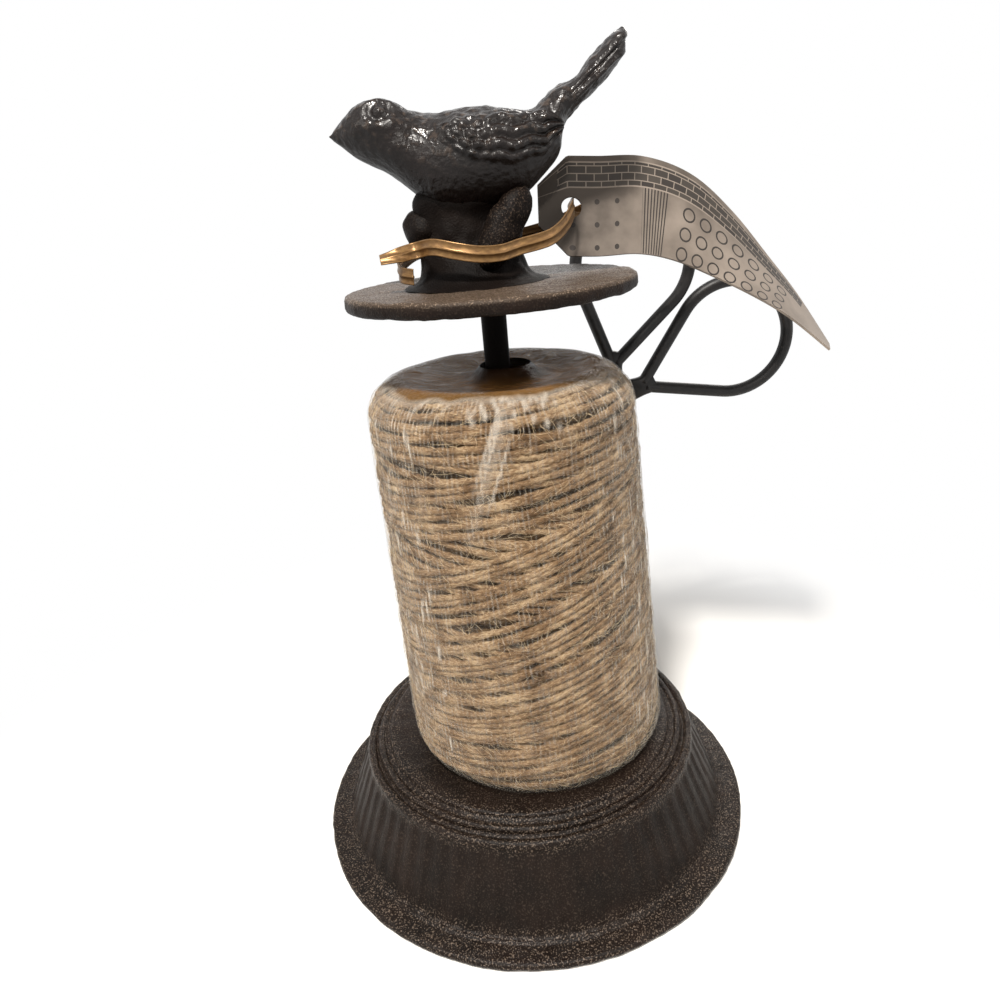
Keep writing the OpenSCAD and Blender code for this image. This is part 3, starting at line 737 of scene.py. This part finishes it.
# Rows of the body: x and z of its top line, x and z of its bottom line, half width
bird_rows = np.array([
    [-37.2, 38.4, -37.2, 38.0, 0.3], [-34, 41.1, -34.4, 35.5, 2.6], [-29, 44.7, -29.6, 31.8, 5.8],
    [-24.5, 45.6, -24, 28.8, 8], [-20, 44.6, -19.5, 25.2, 8.8], [-15.5, 42, -15.8, 22, 9.2],
    [-10.5, 41.2, -11, 19, 10.8], [-4, 41.8, -4.5, 17.6, 12.6], [2.5, 41.8, 2.5, 17.8, 13],
    [8.5, 40.7, 9.5, 20, 12], [13.4, 40.1, 15, 24.3, 9.8], [17, 42.6, 20, 29.5, 7.4],
    [20.5, 45, 21.6, 36, 6], [24.2, 46.1, 25.1, 39.5, 5.4], [28.8, 50.2, 31.5, 44.3, 5.6],
    [33, 53.8, 35.6, 48.6, 5.4], [36, 55.6, 37.6, 53, 3.6], [37, 55.8, 37.6, 54.8, 0.6]])
bird_steps = 20
bird_columns = 200


def smooth_rows(rows, steps):
    """Catmull-Rom curve through rows of numbers, with that many points to each gap."""
    place = np.linspace(0, len(rows) - 1, (len(rows) - 1) * steps + 1)
    index = np.minimum(place.astype(int), len(rows) - 2)
    k = (place - index)[:, None]
    p = rows[np.maximum(index - 1, 0)]
    q = rows[index]
    r = rows[index + 1]
    s = rows[np.minimum(index + 2, len(rows) - 1)]
    bend = 2 * p - 5 * q + 4 * r - s
    twist = 3 * q - p - 3 * r + s
    return 0.5 * (2 * q + (r - p) * k + bend * k ** 2 + twist * k ** 3)


def ridge(distance, width):
    """A round bump of height 1 across a line at distance 0."""
    return np.exp(-(distance / width) ** 2)


def bird_body():
    """Oval rings through the bird's top and bottom lines, from beak to tail."""
    rows = smooth_rows(bird_rows, bird_steps)
    angle = round_angles(bird_columns)
    top = np.stack([rows[:, 0], 0 * rows[:, 0], rows[:, 1]], -1)
    bottom = np.stack([rows[:, 2], 0 * rows[:, 0], rows[:, 3]], -1)
    middle = (top + bottom)[:, None] / 2
    half = (top - bottom)[:, None] / 2
    side = np.array([0, 1, 0]) * rows[:, None, 4:5]
    return middle + half * np.cos(angle)[:, None] - side * np.sin(angle)[:, None]


def feather_relief(points):
    """The folded wing in side view: its area, from 0 to 1, and the height of its feathers. They are
    rounded lumps in front and long vanes behind, which run together towards the wing's tip."""
    x, z = points[..., 0], points[..., 2]
    lower = np.interp(x, [-10, -2.4, 7, 15.8, 21], [34.5, 29.4, 27.3, 29.2, 35])
    upper = np.interp(x, [-10, -2.4, 5.7, 16.6, 21], [38, 40, 40.6, 39.6, 36.6])
    share = (z - lower) / (upper - lower)
    inside = np.clip(5 * share, 0, 1) * np.clip(5 * (1 - share), 0, 1)
    inside *= np.clip((x + 10) / 4, 0, 1) * np.clip((21.5 - x) / 2, 0, 1)
    vane = 4.5 * share + 0.12 * np.sin(0.9 * x)
    breaks = 0.9 + 0.1 * np.sin(2.4 * x + 1.9 * np.floor(vane)) + 0.15 * rough(points, 1.5)
    long_vanes = 1.4 * np.abs(np.sin(np.pi * vane)) ** 0.8 * breaks
    row = np.floor(5 * share)
    across = np.abs(np.sin(np.pi * (x / 3.2 + 0.5 * row)))
    lumps = 1.2 * (across * np.abs(np.sin(np.pi * 5 * share))) ** 0.6 * (1 + 0.6 * rough(points, 2.2))
    behind = np.clip((x - 0.5) / 4, 0, 1)
    return inside, 0.3 + lumps * (1 - behind) + long_vanes * behind


def bird_relief(points):
    """Everything that stands out from the plain body: wings, eyes, bill line, tail ridge, casting."""
    x, y, z = points[..., 0], points[..., 1], points[..., 2]
    flank = np.clip((np.abs(y) - 3) / 3, 0, 1)
    wing_area, feathers = feather_relief(points)
    wings = wing_area * feathers * flank
    eye_away = np.hypot((x + 23.3) / 1.35, z - 42)
    sides = np.clip((np.abs(y) - 2) / 2, 0, 1)
    brow = ridge(eye_away - 2.5, 0.7) * np.clip((z - 41.5) / 1.5, 0, 1)
    eye = sides * (0.4 * ridge(eye_away, 1.1) - 0.75 * ridge(eye_away - 1.6, 0.8) + 0.4 * brow)
    cheek = np.clip((-14 - x) / 8, 0, 1) * np.clip((x + 37) / 6, 0, 1) / (1 + np.exp((37.6 - z) / 0.5))
    bill = 0.55 * cheek * sides
    tail = np.clip((x - 22) / 4, 0, 1)
    centre = 41 + (x - 22) * 0.76
    vane_line = tail * (0.5 * ridge(z - centre + 1.5, 0.6) - 0.45 * ridge(z - centre - 0.4, 0.5))
    bare = 1 - 0.5 * flank * (wings > 0.2)
    cast = cast_relief(points, (0.16, 1.3), (0.2, 2.6), (0.15, 6))
    above = np.clip((z - 30) / 8, 0.35, 1)
    return wings + eye + bill + vane_line + cast * bare * above


body_grid = bird_body()
body_out = normals_of(body_grid)
body_grid = body_grid + body_out * bird_relief(body_grid)[..., None]

mound_x = -4
# Rows of the mound: half length, half width and height
mound_rows = np.array([
    [20, 19, 0], [16.6, 15.4, 0.9], [14.6, 12.2, 2.8], [13.6, 10.2, 7], [13.2, 8, 12],
    [13.4, 7.2, 17], [13.6, 7.5, 21], [10, 5, 25]])
mound_steps = 6
mound_columns = 120


def mound():
    """Oval rings of the mound, wider along the bird than across it, that run up into the belly."""
    rows = smooth_rows(mound_rows, mound_steps)[:, None]
    angle = round_angles(mound_columns)
    return np.stack([mound_x + rows[..., 0] * np.cos(angle), rows[..., 1] * np.sin(angle),
                     rows[..., 2] + 0 * angle], -1)


def pod(foot_end, head_end, radii, count=26, columns=48):
    """A bulging limb: rings along a straight line whose radius swells between its two round ends."""
    share = (1 - np.cos(np.linspace(0.05, np.pi - 0.05, count))) / 2
    start, end = np.array(foot_end), np.array(head_end)
    axis = unit(end - start)
    across = unit(np.cross(axis, [0, 1, 0]))
    up = np.cross(across, axis)
    angle = round_angles(columns)
    radius = np.interp(share, np.linspace(0, 1, len(radii)), radii) * np.sqrt(1 - (2 * share - 1) ** 4)
    ring = np.cos(angle)[:, None] * across + np.sin(angle)[:, None] * up
    return start + (end - start) * share[:, None, None] + radius[:, None, None] * ring


limbs = [
    mound(),
    pod((-16.8, 1, 8.6), (-15.2, 1, 20.2), (4.6, 5.6, 4.8)),
    pod((-1, -10, 4), (10.4, -7.2, 22.5), (3.4, 4.2, 4.4)),
    pod((-1, 10, 4), (10.4, 7.2, 22.5), (3.4, 4.2, 4.4))]
limb_cast = [cast_relief(grid, (0.3, 1.8), (0.4, 3.3), (0.9, 8)) for grid in limbs]
limbs = [grid + normals_of(grid) * (cast * np.clip(grid[..., 2] / 4, 0, 1))[..., None]
         for grid, cast in zip(limbs, limb_cast)]
bird_paint = grainy_paint("worn_paint_with_painted_light_on_cast_bird", "#0a0503", "#120a07", "#3c322b", 1.8, 0.45,
                          0.42, 0.17, 0.3)
# The mound and legs get a darker, duller copy of the bird's paint as painted shade under the bird, with paler
# bead tops on the legs as painted glints
limb_paint_in_shade = grainy_paint("paint_in_painted_shade_on_cast_mound", "#080504", "#100a07", "#5a4c41", 0.45, 0.2,
                          0.55, 0.28, 0.07)
limb_shares = [0.03, 0.15, 0.5, 0.5]
limb_worn_and_lit = [np.full(grid[..., 2].size, share) for grid, share in zip(limbs, limb_shares)]
# Share for wear and light: high on the faces that turn up and low in the wing's grooves, so paler bead tops
# paint light on them and the grooves stay darker, as painted shade
wing_area, feathers = feather_relief(body_grid)
grooves = wing_area * np.clip(1.1 - feathers / 0.9, 0, 1)
upward = np.clip(0.55 + 0.9 * normals_of(body_grid)[..., 2], 0, 1)
body_worn_and_lit = np.clip((body_grid[..., 2] - 25) / 8, 0, 1) * upward * (1 - grooves)
bird_pieces = {"cast_bird": ([body_grid], bird_paint, body_worn_and_lit),
               "cast_mound_and_legs": (limbs, limb_paint_in_shade, np.concatenate(limb_worn_and_lit))}
for name, (grids, material, worn_and_lit) in bird_pieces.items():
    bird_piece = grid_piece(name, [grid + [0, 0, plate_top] for grid in grids], material, capped=True,
                            fields={"worn_and_lit": worn_and_lit})
    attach(bird_piece, "cap")
    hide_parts("bird")

# Wire tie
# A flat gold tie, two strips of metallic film bonded over a soft wire, passes round the
# bird's legs, through the tag and over the scissors' loop.
tie_w = 4
tie_t = 0.9
bar_r = 2
bar_gap = 0.8
wrap_r = 16.8
hang_point = np.array([46.5, 45, 15.9])
tag_hole = np.array([23.5, 8.6, 16.4])
bar_turn_r = bar_r + bar_gap + tie_t / 2


def wrap_point(angle, height):
    """Point of the tie where it goes round the mound."""
    turn = np.radians(angle)
    return [mound_x + wrap_r * np.cos(turn), wrap_r * np.sin(turn), height]


over_bar = np.radians(np.arange(-90, 91, 30))
tie_route = np.vstack([
    [[-27, -12.5, 8.6], [-23, -12, 9.2]],
    [wrap_point(214, 10), wrap_point(236, 10.6), wrap_point(256, 9.4), wrap_point(276, 8.2),
     wrap_point(296, 8), wrap_point(316, 8.8)],
    [[16, -8.5, 10.2], [20.6, -3.4, 13], [23.4, 2, 16.6], tag_hole, [24, 15, 13.6]],
    hang_point + np.array([[-12, -20, -1.4], [-4, -10, -0.6], [0, -4, 0]]) - [0, 0, bar_turn_r],
    hang_point + bar_turn_r * np.column_stack([0 * over_bar, np.cos(over_bar), np.sin(over_bar)]),
    hang_point + np.array([[0, -4, 0], [-5, -11, -0.6], [-16, -19, -3.2]]) + [0, 0, bar_turn_r],
    [[18, 20.5, 11.6], wrap_point(62, 9.4), wrap_point(90, 8.6), wrap_point(118, 8.6),
     wrap_point(146, 8.8), wrap_point(172, 8.2)],
    [[-23.2, -5, 6.2], [-22.6, -10.5, 4.6], [-19, -14.5, 4]]])
tie_path = smooth_rows(tie_route, 10)
tie_ahead = unit(np.gradient(tie_path, axis=0))
tie_flat = np.clip((tie_path[:, 1:2] - 12) / (hang_point[1] - 17), 0, 1)
tie_wide = np.array([0, 0, 1]) * (1 - tie_flat) + np.array([1, 0, 0]) * tie_flat
tie_folded = np.clip(1 - np.arange(len(tie_path)) / 22, 0, 1)[:, None]
tie_wide = tie_wide + 1.6 * tie_folded * np.array([0, 1, 0])
tie_wide = unit(tie_wide - np.sum(tie_wide * tie_ahead, axis=1, keepdims=True) * tie_ahead)
tie_face = np.cross(tie_ahead, tie_wide)
tie_half = np.array([[-1, -0.3], [-0.86, -0.3], [-0.8, -0.2], [-0.2, -0.2], [-0.12, -0.55], [0, -0.75],
                     [0.12, -0.55], [0.2, -0.2], [0.8, -0.2], [0.86, -0.3], [1, -0.3]])
tie_section = np.vstack([tie_half, tie_half[::-1] * [1, -1]]) * [tie_w / 2, tie_t / 2]
tie_grid = (tie_path[:, None] + tie_section[:, 0, None] * tie_wide[:, None]
            + tie_section[:, 1, None] * tie_face[:, None] + [0, 0, plate_top])


def gold_film(name, dark, light):
    """Metallised film: a soft gold mirror with fine lengthwise rubbing."""
    material, tree, shader = new_material(name)
    rub = noise(tree, stretched_uv(tree, 0.4, 30.0), 1.0, 4.0)
    clouded(tree, shader, rub, dark, light, 0.3, 0.42)
    shader.inputs["Metallic"].default_value = 0.6
    return material


tie = grid_piece("wire_tie", [tie_grid], gold_film("gold_film", "#62462a", "#87673e"), capped=True,
                 cell=(1.0, 1 / len(tie_section)))
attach(tie, "cap")
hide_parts("twist_tie")

# Card tag
# A long printed card with clipped corners at its punched end, threaded on the tie. It curls
# over to the right under its own weight, and its print is a plain pattern of bands.

# Rows of the card's middle line: x, y and z, the lean of its width in degrees, and its skew
tag_rows = np.array([
    [14.5, 8, 17.7, 22, 0.05], [30, 9, 16.2, 21, 0.08], [43, 10.5, 15.4, 24, 0.12],
    [55, 12.5, 11.2, 34, 0.3], [67, 15.5, 3.2, 51, 0.42], [79.5, 19, -7, 70, 0.46],
    [91, 22, -17.3, 84, 0.46], [103.5, 24, -31, 98, 0.42]])
tag_w = 27
tag_t = 0.6
tag_clip = 8
tag_len = 105
print_cell = 6.2
tag_line = smooth_rows(tag_rows, 24)
tag_lean = np.radians(tag_line[:, 3])
tag_wide = unit(np.column_stack([tag_line[:, 4], np.sin(tag_lean), np.cos(tag_lean)]))
tag_half_w = tag_w / 2 - np.maximum(0, tag_clip - (tag_line[:, 0] - tag_line[0, 0]))
tag_share = np.linspace(-1, 1, 31)
tag_middle = (tag_line[:, None, :3] + (tag_half_w[:, None] * tag_share)[..., None] * tag_wide[:, None]
              + [0, 0, plate_top])
tag_normal = normals_of(tag_middle, closed_columns=False)
tag_front = tag_middle + tag_normal * tag_t / 2
tag_back = tag_middle - tag_normal * tag_t / 2
tag_loop = np.concatenate([tag_front, tag_back[:, ::-1]], axis=1)


def printed_card(name, paper, shade, ink, pale):
    """Matt printed card: cloudy grey-beige paper with a dark band of bricks along one edge, a block of
    fine rules, rows of rings and rows of dots. The paper darkens towards its punched end, as painted
    shade where the bird shades it."""
    material, tree, shader = new_material(name)
    axes = add_node(tree, "ShaderNodeSeparateXYZ", {"Vector": coordinates(tree, "UV")})
    length = axes.outputs["X"]
    width = maths(tree, "PINGPONG", axes.outputs["Y"], tag_w * len(tag_share) / (len(tag_share) - 1))
    mapped = add_node(tree, "ShaderNodeCombineXYZ", {"X": length, "Y": width}).outputs["Vector"]

    def between(value, low, high):
        """1 where a value lies between two limits, and 0 elsewhere."""
        above = maths(tree, "GREATER_THAN", value, low)
        return maths(tree, "MULTIPLY", above, maths(tree, "LESS_THAN", value, high))

    def area(start, end, low, high):
        """1 in a rectangle of the card, given along and across it in millimetres."""
        return maths(tree, "MULTIPLY", between(length, start, end), between(width, low, high))

    def vectors(operation, *values):
        """One vector maths node."""
        return add_node(tree, "ShaderNodeVectorMath", dict(enumerate(values)), operation=operation)

    cloud = noise(tree, coordinates(tree, "Object"), 1 / (16 * MM), 5.0)
    # Painted shade: the paper darkens towards its punched end, where the bird shades it
    fade = maths(tree, "MULTIPLY_ADD", length, 0.006, cloud)
    colour = colour_ramp(tree, fade, [(0.58, shade), (1.0, paper)])
    brick = add_node(tree, "ShaderNodeTexBrick",
                     {"Vector": mapped, "Color1": linear(ink), "Color2": linear("#3b352f"),
                      "Mortar": linear(pale), "Scale": 1.0, "Mortar Size": 0.14, "Brick Width": 4.2,
                      "Row Height": 2.1})
    colour = laid_over(tree, colour, area(6, 92, 19.5, 26), brick.outputs["Color"])
    ruled = add_node(tree, "ShaderNodeTexWave", {"Vector": mapped, "Scale": 0.3, "Distortion": 0.0},
                     wave_type="BANDS", bands_direction="X").outputs["Fac"]
    rules = maths(tree, "MULTIPLY", maths(tree, "GREATER_THAN", ruled, 0.62), area(30, 39, 1, 19.5))
    cell = vectors("MULTIPLY", mapped, (1 / print_cell, 1 / print_cell, 1.0)).outputs["Vector"]
    cell = vectors("FRACTION", cell).outputs["Vector"]
    cell = vectors("SUBTRACT", cell, (0.5, 0.5, 0.0)).outputs["Vector"]
    away = vectors("LENGTH", cell).outputs["Value"]
    cells_high = 3 * print_cell
    ring_area = area(7 * print_cell, 14 * print_cell, 0.4, cells_high)
    rings = maths(tree, "MULTIPLY", between(away, 0.27, 0.36), ring_area)
    dot_area = area(print_cell, 4 * print_cell, 0.4, cells_high)
    dots = maths(tree, "MULTIPLY", between(away, -1, 0.12), dot_area)
    for marks in (rules, rings, dots):
        colour = laid_over(tree, colour, marks, linear(ink))
    border = maths(tree, "MAXIMUM", between(width, 19.2, 19.6), between(width, 26, 26.4))
    colour = laid_over(tree, colour, border, linear(pale))
    feed(tree, shader, {"Base Color": colour, "Roughness": 0.55, "Specular IOR Level": 0.3})
    return material


tag_paper = printed_card("printed_card", "#8b8076", "#463e37", "#251f1b", "#877c72")
tag = grid_piece("card_tag", [tag_loop], tag_paper, capped=True,
                 cell=(tag_len / (len(tag_line) - 1), tag_w / (len(tag_share) - 1)))

# The punched hole for the tie, square to the card
hole_across = 5.6
punch_reach = 3
punch_sides = 40
hole_row = np.argmin(np.abs(tag_line[:, 0] - tag_hole[0]))
punch_axis = tag_normal[hole_row, len(tag_share) // 2]
punch_side = tag_wide[hole_row]
punch_turn = round_angles(punch_sides)[:, None]
punch_ring = hole_across / 2 * (np.cos(punch_turn) * punch_side
                                + np.sin(punch_turn) * np.cross(punch_axis, punch_side))
punch_ends = [tag_hole + [0, 0, plate_top] + end * punch_axis for end in (-punch_reach, punch_reach)]
punch_grid = np.stack([end + punch_ring for end in punch_ends])
punch = grid_piece("tag_punch", [punch_grid], tag_paper, capped=True)
cut = tag.modifiers.new("hole", "BOOLEAN")
cut.object = punch
cut.solver = "EXACT"
depsgraph = bpy.context.evaluated_depsgraph_get()
tag.data = bpy.data.meshes.new_from_object(tag.evaluated_get(depsgraph), preserve_all_data_layers=True,
                                           depsgraph=depsgraph)
tag.modifiers.clear()
bpy.data.objects.remove(punch)
tag.data.set_sharp_from_angle(angle=np.radians(40))
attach(tag, "tag")
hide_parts("hang_tag")

# Scissors
# Two forged halves with round finger loops, blacked all over, on one rivet. The upper loop
# hangs on the tie, and the closed blades point down behind the twine.
loop_r = 18.6
scissor_lean = np.radians(51)
loop_centre = np.array([40, loop_r + bar_r + 0.6])
neck = np.array([9.6, 6.2])
neck_run = loop_centre - neck
neck_angle = np.arctan2(neck_run[1], neck_run[0])
neck_spread = np.arcsin(loop_r / np.linalg.norm(neck_run))
strand_start = 1.5
bar_sides = 24
hang_drawn = loop_centre + loop_r * np.array([np.sin(scissor_lean), np.cos(scissor_lean)])


def along(angle):
    """Unit vector of the flat drawing at an angle."""
    return np.stack([np.cos(angle), np.sin(angle)], -1)


def finger_loop():
    """Grid of the loop's round bar: from the neck, round the circle and back to the neck."""
    swing = np.linspace(1, -1, 97) * (np.pi / 2 + neck_spread)
    flat = np.vstack([neck + strand_start * along(neck_angle + neck_spread),
                      loop_centre + loop_r * along(neck_angle + swing),
                      neck + strand_start * along(neck_angle - neck_spread)])
    path = np.pad(spaced(flat, 1.0, closed=False), ((0, 0), (0, 1)))
    side = np.cross([0, 0, 1], unit(np.gradient(path, axis=0)))
    angle = round_angles(bar_sides)[:, None]
    return path[:, None] + bar_r * (np.cos(angle) * side[:, None] + np.sin(angle) * np.array([0, 0, 1]))


# Rows of the shank and blade: middle x and y, half width, lean of the width and the two faces
shank_rows = np.array([
    [-62.7, -0.05, 0.35, 0, 0.1, 0.9], [-60, -0.3, 1.0, 0, 0.05, 1.6], [-48.5, -1.3, 2.4, 0, 0.05, 2.05],
    [-30, -1.2, 2.9, 0, 0.05, 2.05], [-15, -1.0, 3.2, 0, 0.05, 2.05], [-7.5, -0.7, 3.7, 0, 0.05, 2.05],
    [-3.6, -0.3, 5.0, 8, 0.05, 2.05], [0, 0, 5.65, 18, 0.05, 2.05], [3.2, 1.9, 5.0, 27, 0.05, 2.05],
    [6.2, 4, 3.9, 31, -0.6, 2.05], [9.6, 6.2, 3.2, 32.9, -1.7, 1.9], [12.2, 7.6, 3.4, 28, -1.8, 1.8],
    [14, 8.5, 2.6, 26.3, -1.4, 1.4]])
shank_section = np.array([[-1, 0.2], [-0.8, 0], [0.8, 0], [1, 0.2], [1, 0.7], [0.7, 1], [-0.7, 1], [-1, 0.7]])


def shank_and_blade():
    """Grid of the forged shank and blade: a bevelled section lofted from the tip to the neck."""
    rows = smooth_rows(shank_rows, 8)
    wide = along(np.radians(rows[:, 3] + 90))
    flat = rows[:, None, :2] + rows[:, None, 2:3] * shank_section[:, :1] * wide[:, None]
    height = rows[:, None, 4] + shank_section[:, 1] * (rows[:, 5] - rows[:, 4])[:, None]
    return np.concatenate([flat, height[..., None]], axis=-1)[:, ::-1]


def hung(grid):
    """The flat drawing as it hangs: stood upright, leaned and brought to the tie."""
    x = grid[..., 0] - hang_drawn[0]
    z = grid[..., 1] - hang_drawn[1]
    turned = np.stack([x * np.cos(scissor_lean) - z * np.sin(scissor_lean), -grid[..., 2],
                       x * np.sin(scissor_lean) + z * np.cos(scissor_lean)], -1)
    return turned + hang_point + [0, 0, plate_top]


def black_iron(name, dark, light):
    """Forged iron with a black oiled scale: satin, cloudy and faintly hammered."""
    material, tree, shader = new_material(name)
    cloud = noise(tree, coordinates(tree, "Object"), 1 / (3 * MM), 4.0)
    clouded(tree, shader, cloud, dark, light, 0.35, 0.6)
    shader.inputs["Specular IOR Level"].default_value = 0.35
    bumped(tree, shader, cloud, 0.3, strength=0.4)
    return material


scissor_black = black_iron("blacked_forged_iron", "#0e0d0d", "#201e1e")
for name, node, turned_over in (("scissors_hung_half", "scissor_half_a", [1, 1, 1]),
                                ("scissors_loose_half", "scissor_half_b", [1, -1, -1])):
    half = grid_piece(name, [hung(grid * turned_over) for grid in (finger_loop(), shank_and_blade())],
                      scissor_black, capped=True)
    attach(half, "scissors_a" if node == "scissor_half_a" else "scissors_b")
    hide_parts(node)

# Floor and light
# A white floor that fades into a white background, with one lamp above, a weaker one in
# front of it and a soft fill from either side and from behind.
floor_r = 0.6
floor_columns = 96
fade_start = 0.085
fade_end = 0.24


def seen_directly(tree):
    """1 for rays from the camera, through the clear film or off a shiny face, and 0 for others."""
    path = add_node(tree, "ShaderNodeLightPath").outputs
    direct = maths(tree, "MAXIMUM", path["Is Camera Ray"], path["Is Transmission Ray"])
    return maths(tree, "MAXIMUM", direct, path["Is Glossy Ray"])


floor_material = bpy.data.materials.new("white_floor")
floor_material.use_nodes = True
floor_tree = floor_material.node_tree
floor_tree.nodes.clear()
floor_away = add_node(floor_tree, "ShaderNodeVectorMath", {0: coordinates(floor_tree, "Object")},
                      operation="LENGTH").outputs["Value"]
floor_fade = ranged(floor_tree, floor_away, fade_start, fade_end, interpolation_type="SMOOTHSTEP")
floor_share = maths(floor_tree, "MULTIPLY", floor_fade, seen_directly(floor_tree))
floor_paint = add_node(floor_tree, "ShaderNodeBsdfDiffuse", {"Color": linear("#f4f3f1")})
floor_glow = add_node(floor_tree, "ShaderNodeEmission", {"Color": (1, 1, 1, 1), "Strength": 1.0})
floor_mix = add_node(floor_tree, "ShaderNodeMixShader",
                     {0: floor_share, 1: floor_paint.outputs["BSDF"], 2: floor_glow.outputs["Emission"]})
add_node(floor_tree, "ShaderNodeOutputMaterial", {"Surface": floor_mix.outputs["Shader"]})
floor_grid = revolved(np.array([[0.5, 0], [floor_r / MM, 0]]), floor_columns)
floor = grid_piece("floor", [floor_grid[::-1]], floor_material)

world = bpy.data.worlds.new("white_room")
bpy.context.scene.world = world
world.use_nodes = True
room = world.node_tree
room.nodes.clear()
room_light = ranged(room, seen_directly(room), 0, 1, 0.1, 1.0)
sky = add_node(room, "ShaderNodeBackground", {"Color": (1, 1, 1, 1), "Strength": room_light})
add_node(room, "ShaderNodeOutputWorld", {"Surface": sky.outputs["Background"]})
lamp_colour = "#fffaf3"


def lamp(name, place, target, size, power):
    """A square soft lamp at a place, turned to face a target."""
    light = bpy.data.lights.new(name, "AREA")
    light.size = size
    light.energy = power
    light.color = linear(lamp_colour)[:3]
    holder = bpy.data.objects.new(name, light)
    away = unit(np.array(place) - np.array(target))
    side = unit(np.cross([0, 1, 0.01], away))
    turn = np.column_stack([side, np.cross(away, side), away, place])
    holder.matrix_world = Matrix([*turn.tolist(), [0, 0, 0, 1]])
    bpy.context.scene.collection.objects.link(holder)


lamp("ceiling_lamp", (-0.12, -0.4, 0.88), (0, 0, 0.1), 0.085, 11.5)
lamp("front_lamp", (-0.1, -0.8, 0.62), (0, 0, 0.15), 0.07, 2.2)
lamp("left_fill", (-0.75, -0.5, 0.6), (0, 0, 0.1), 0.4, 2.1)
lamp("right_fill", (0.85, -0.4, 0.6), (0, 0, 0.1), 0.4, 2.3)
lamp("back_fill", (0.35, 0.85, 0.55), (0, 0, 0.1), 0.4, 2.4)

bpy.context.scene.view_settings.view_transform = "Standard"
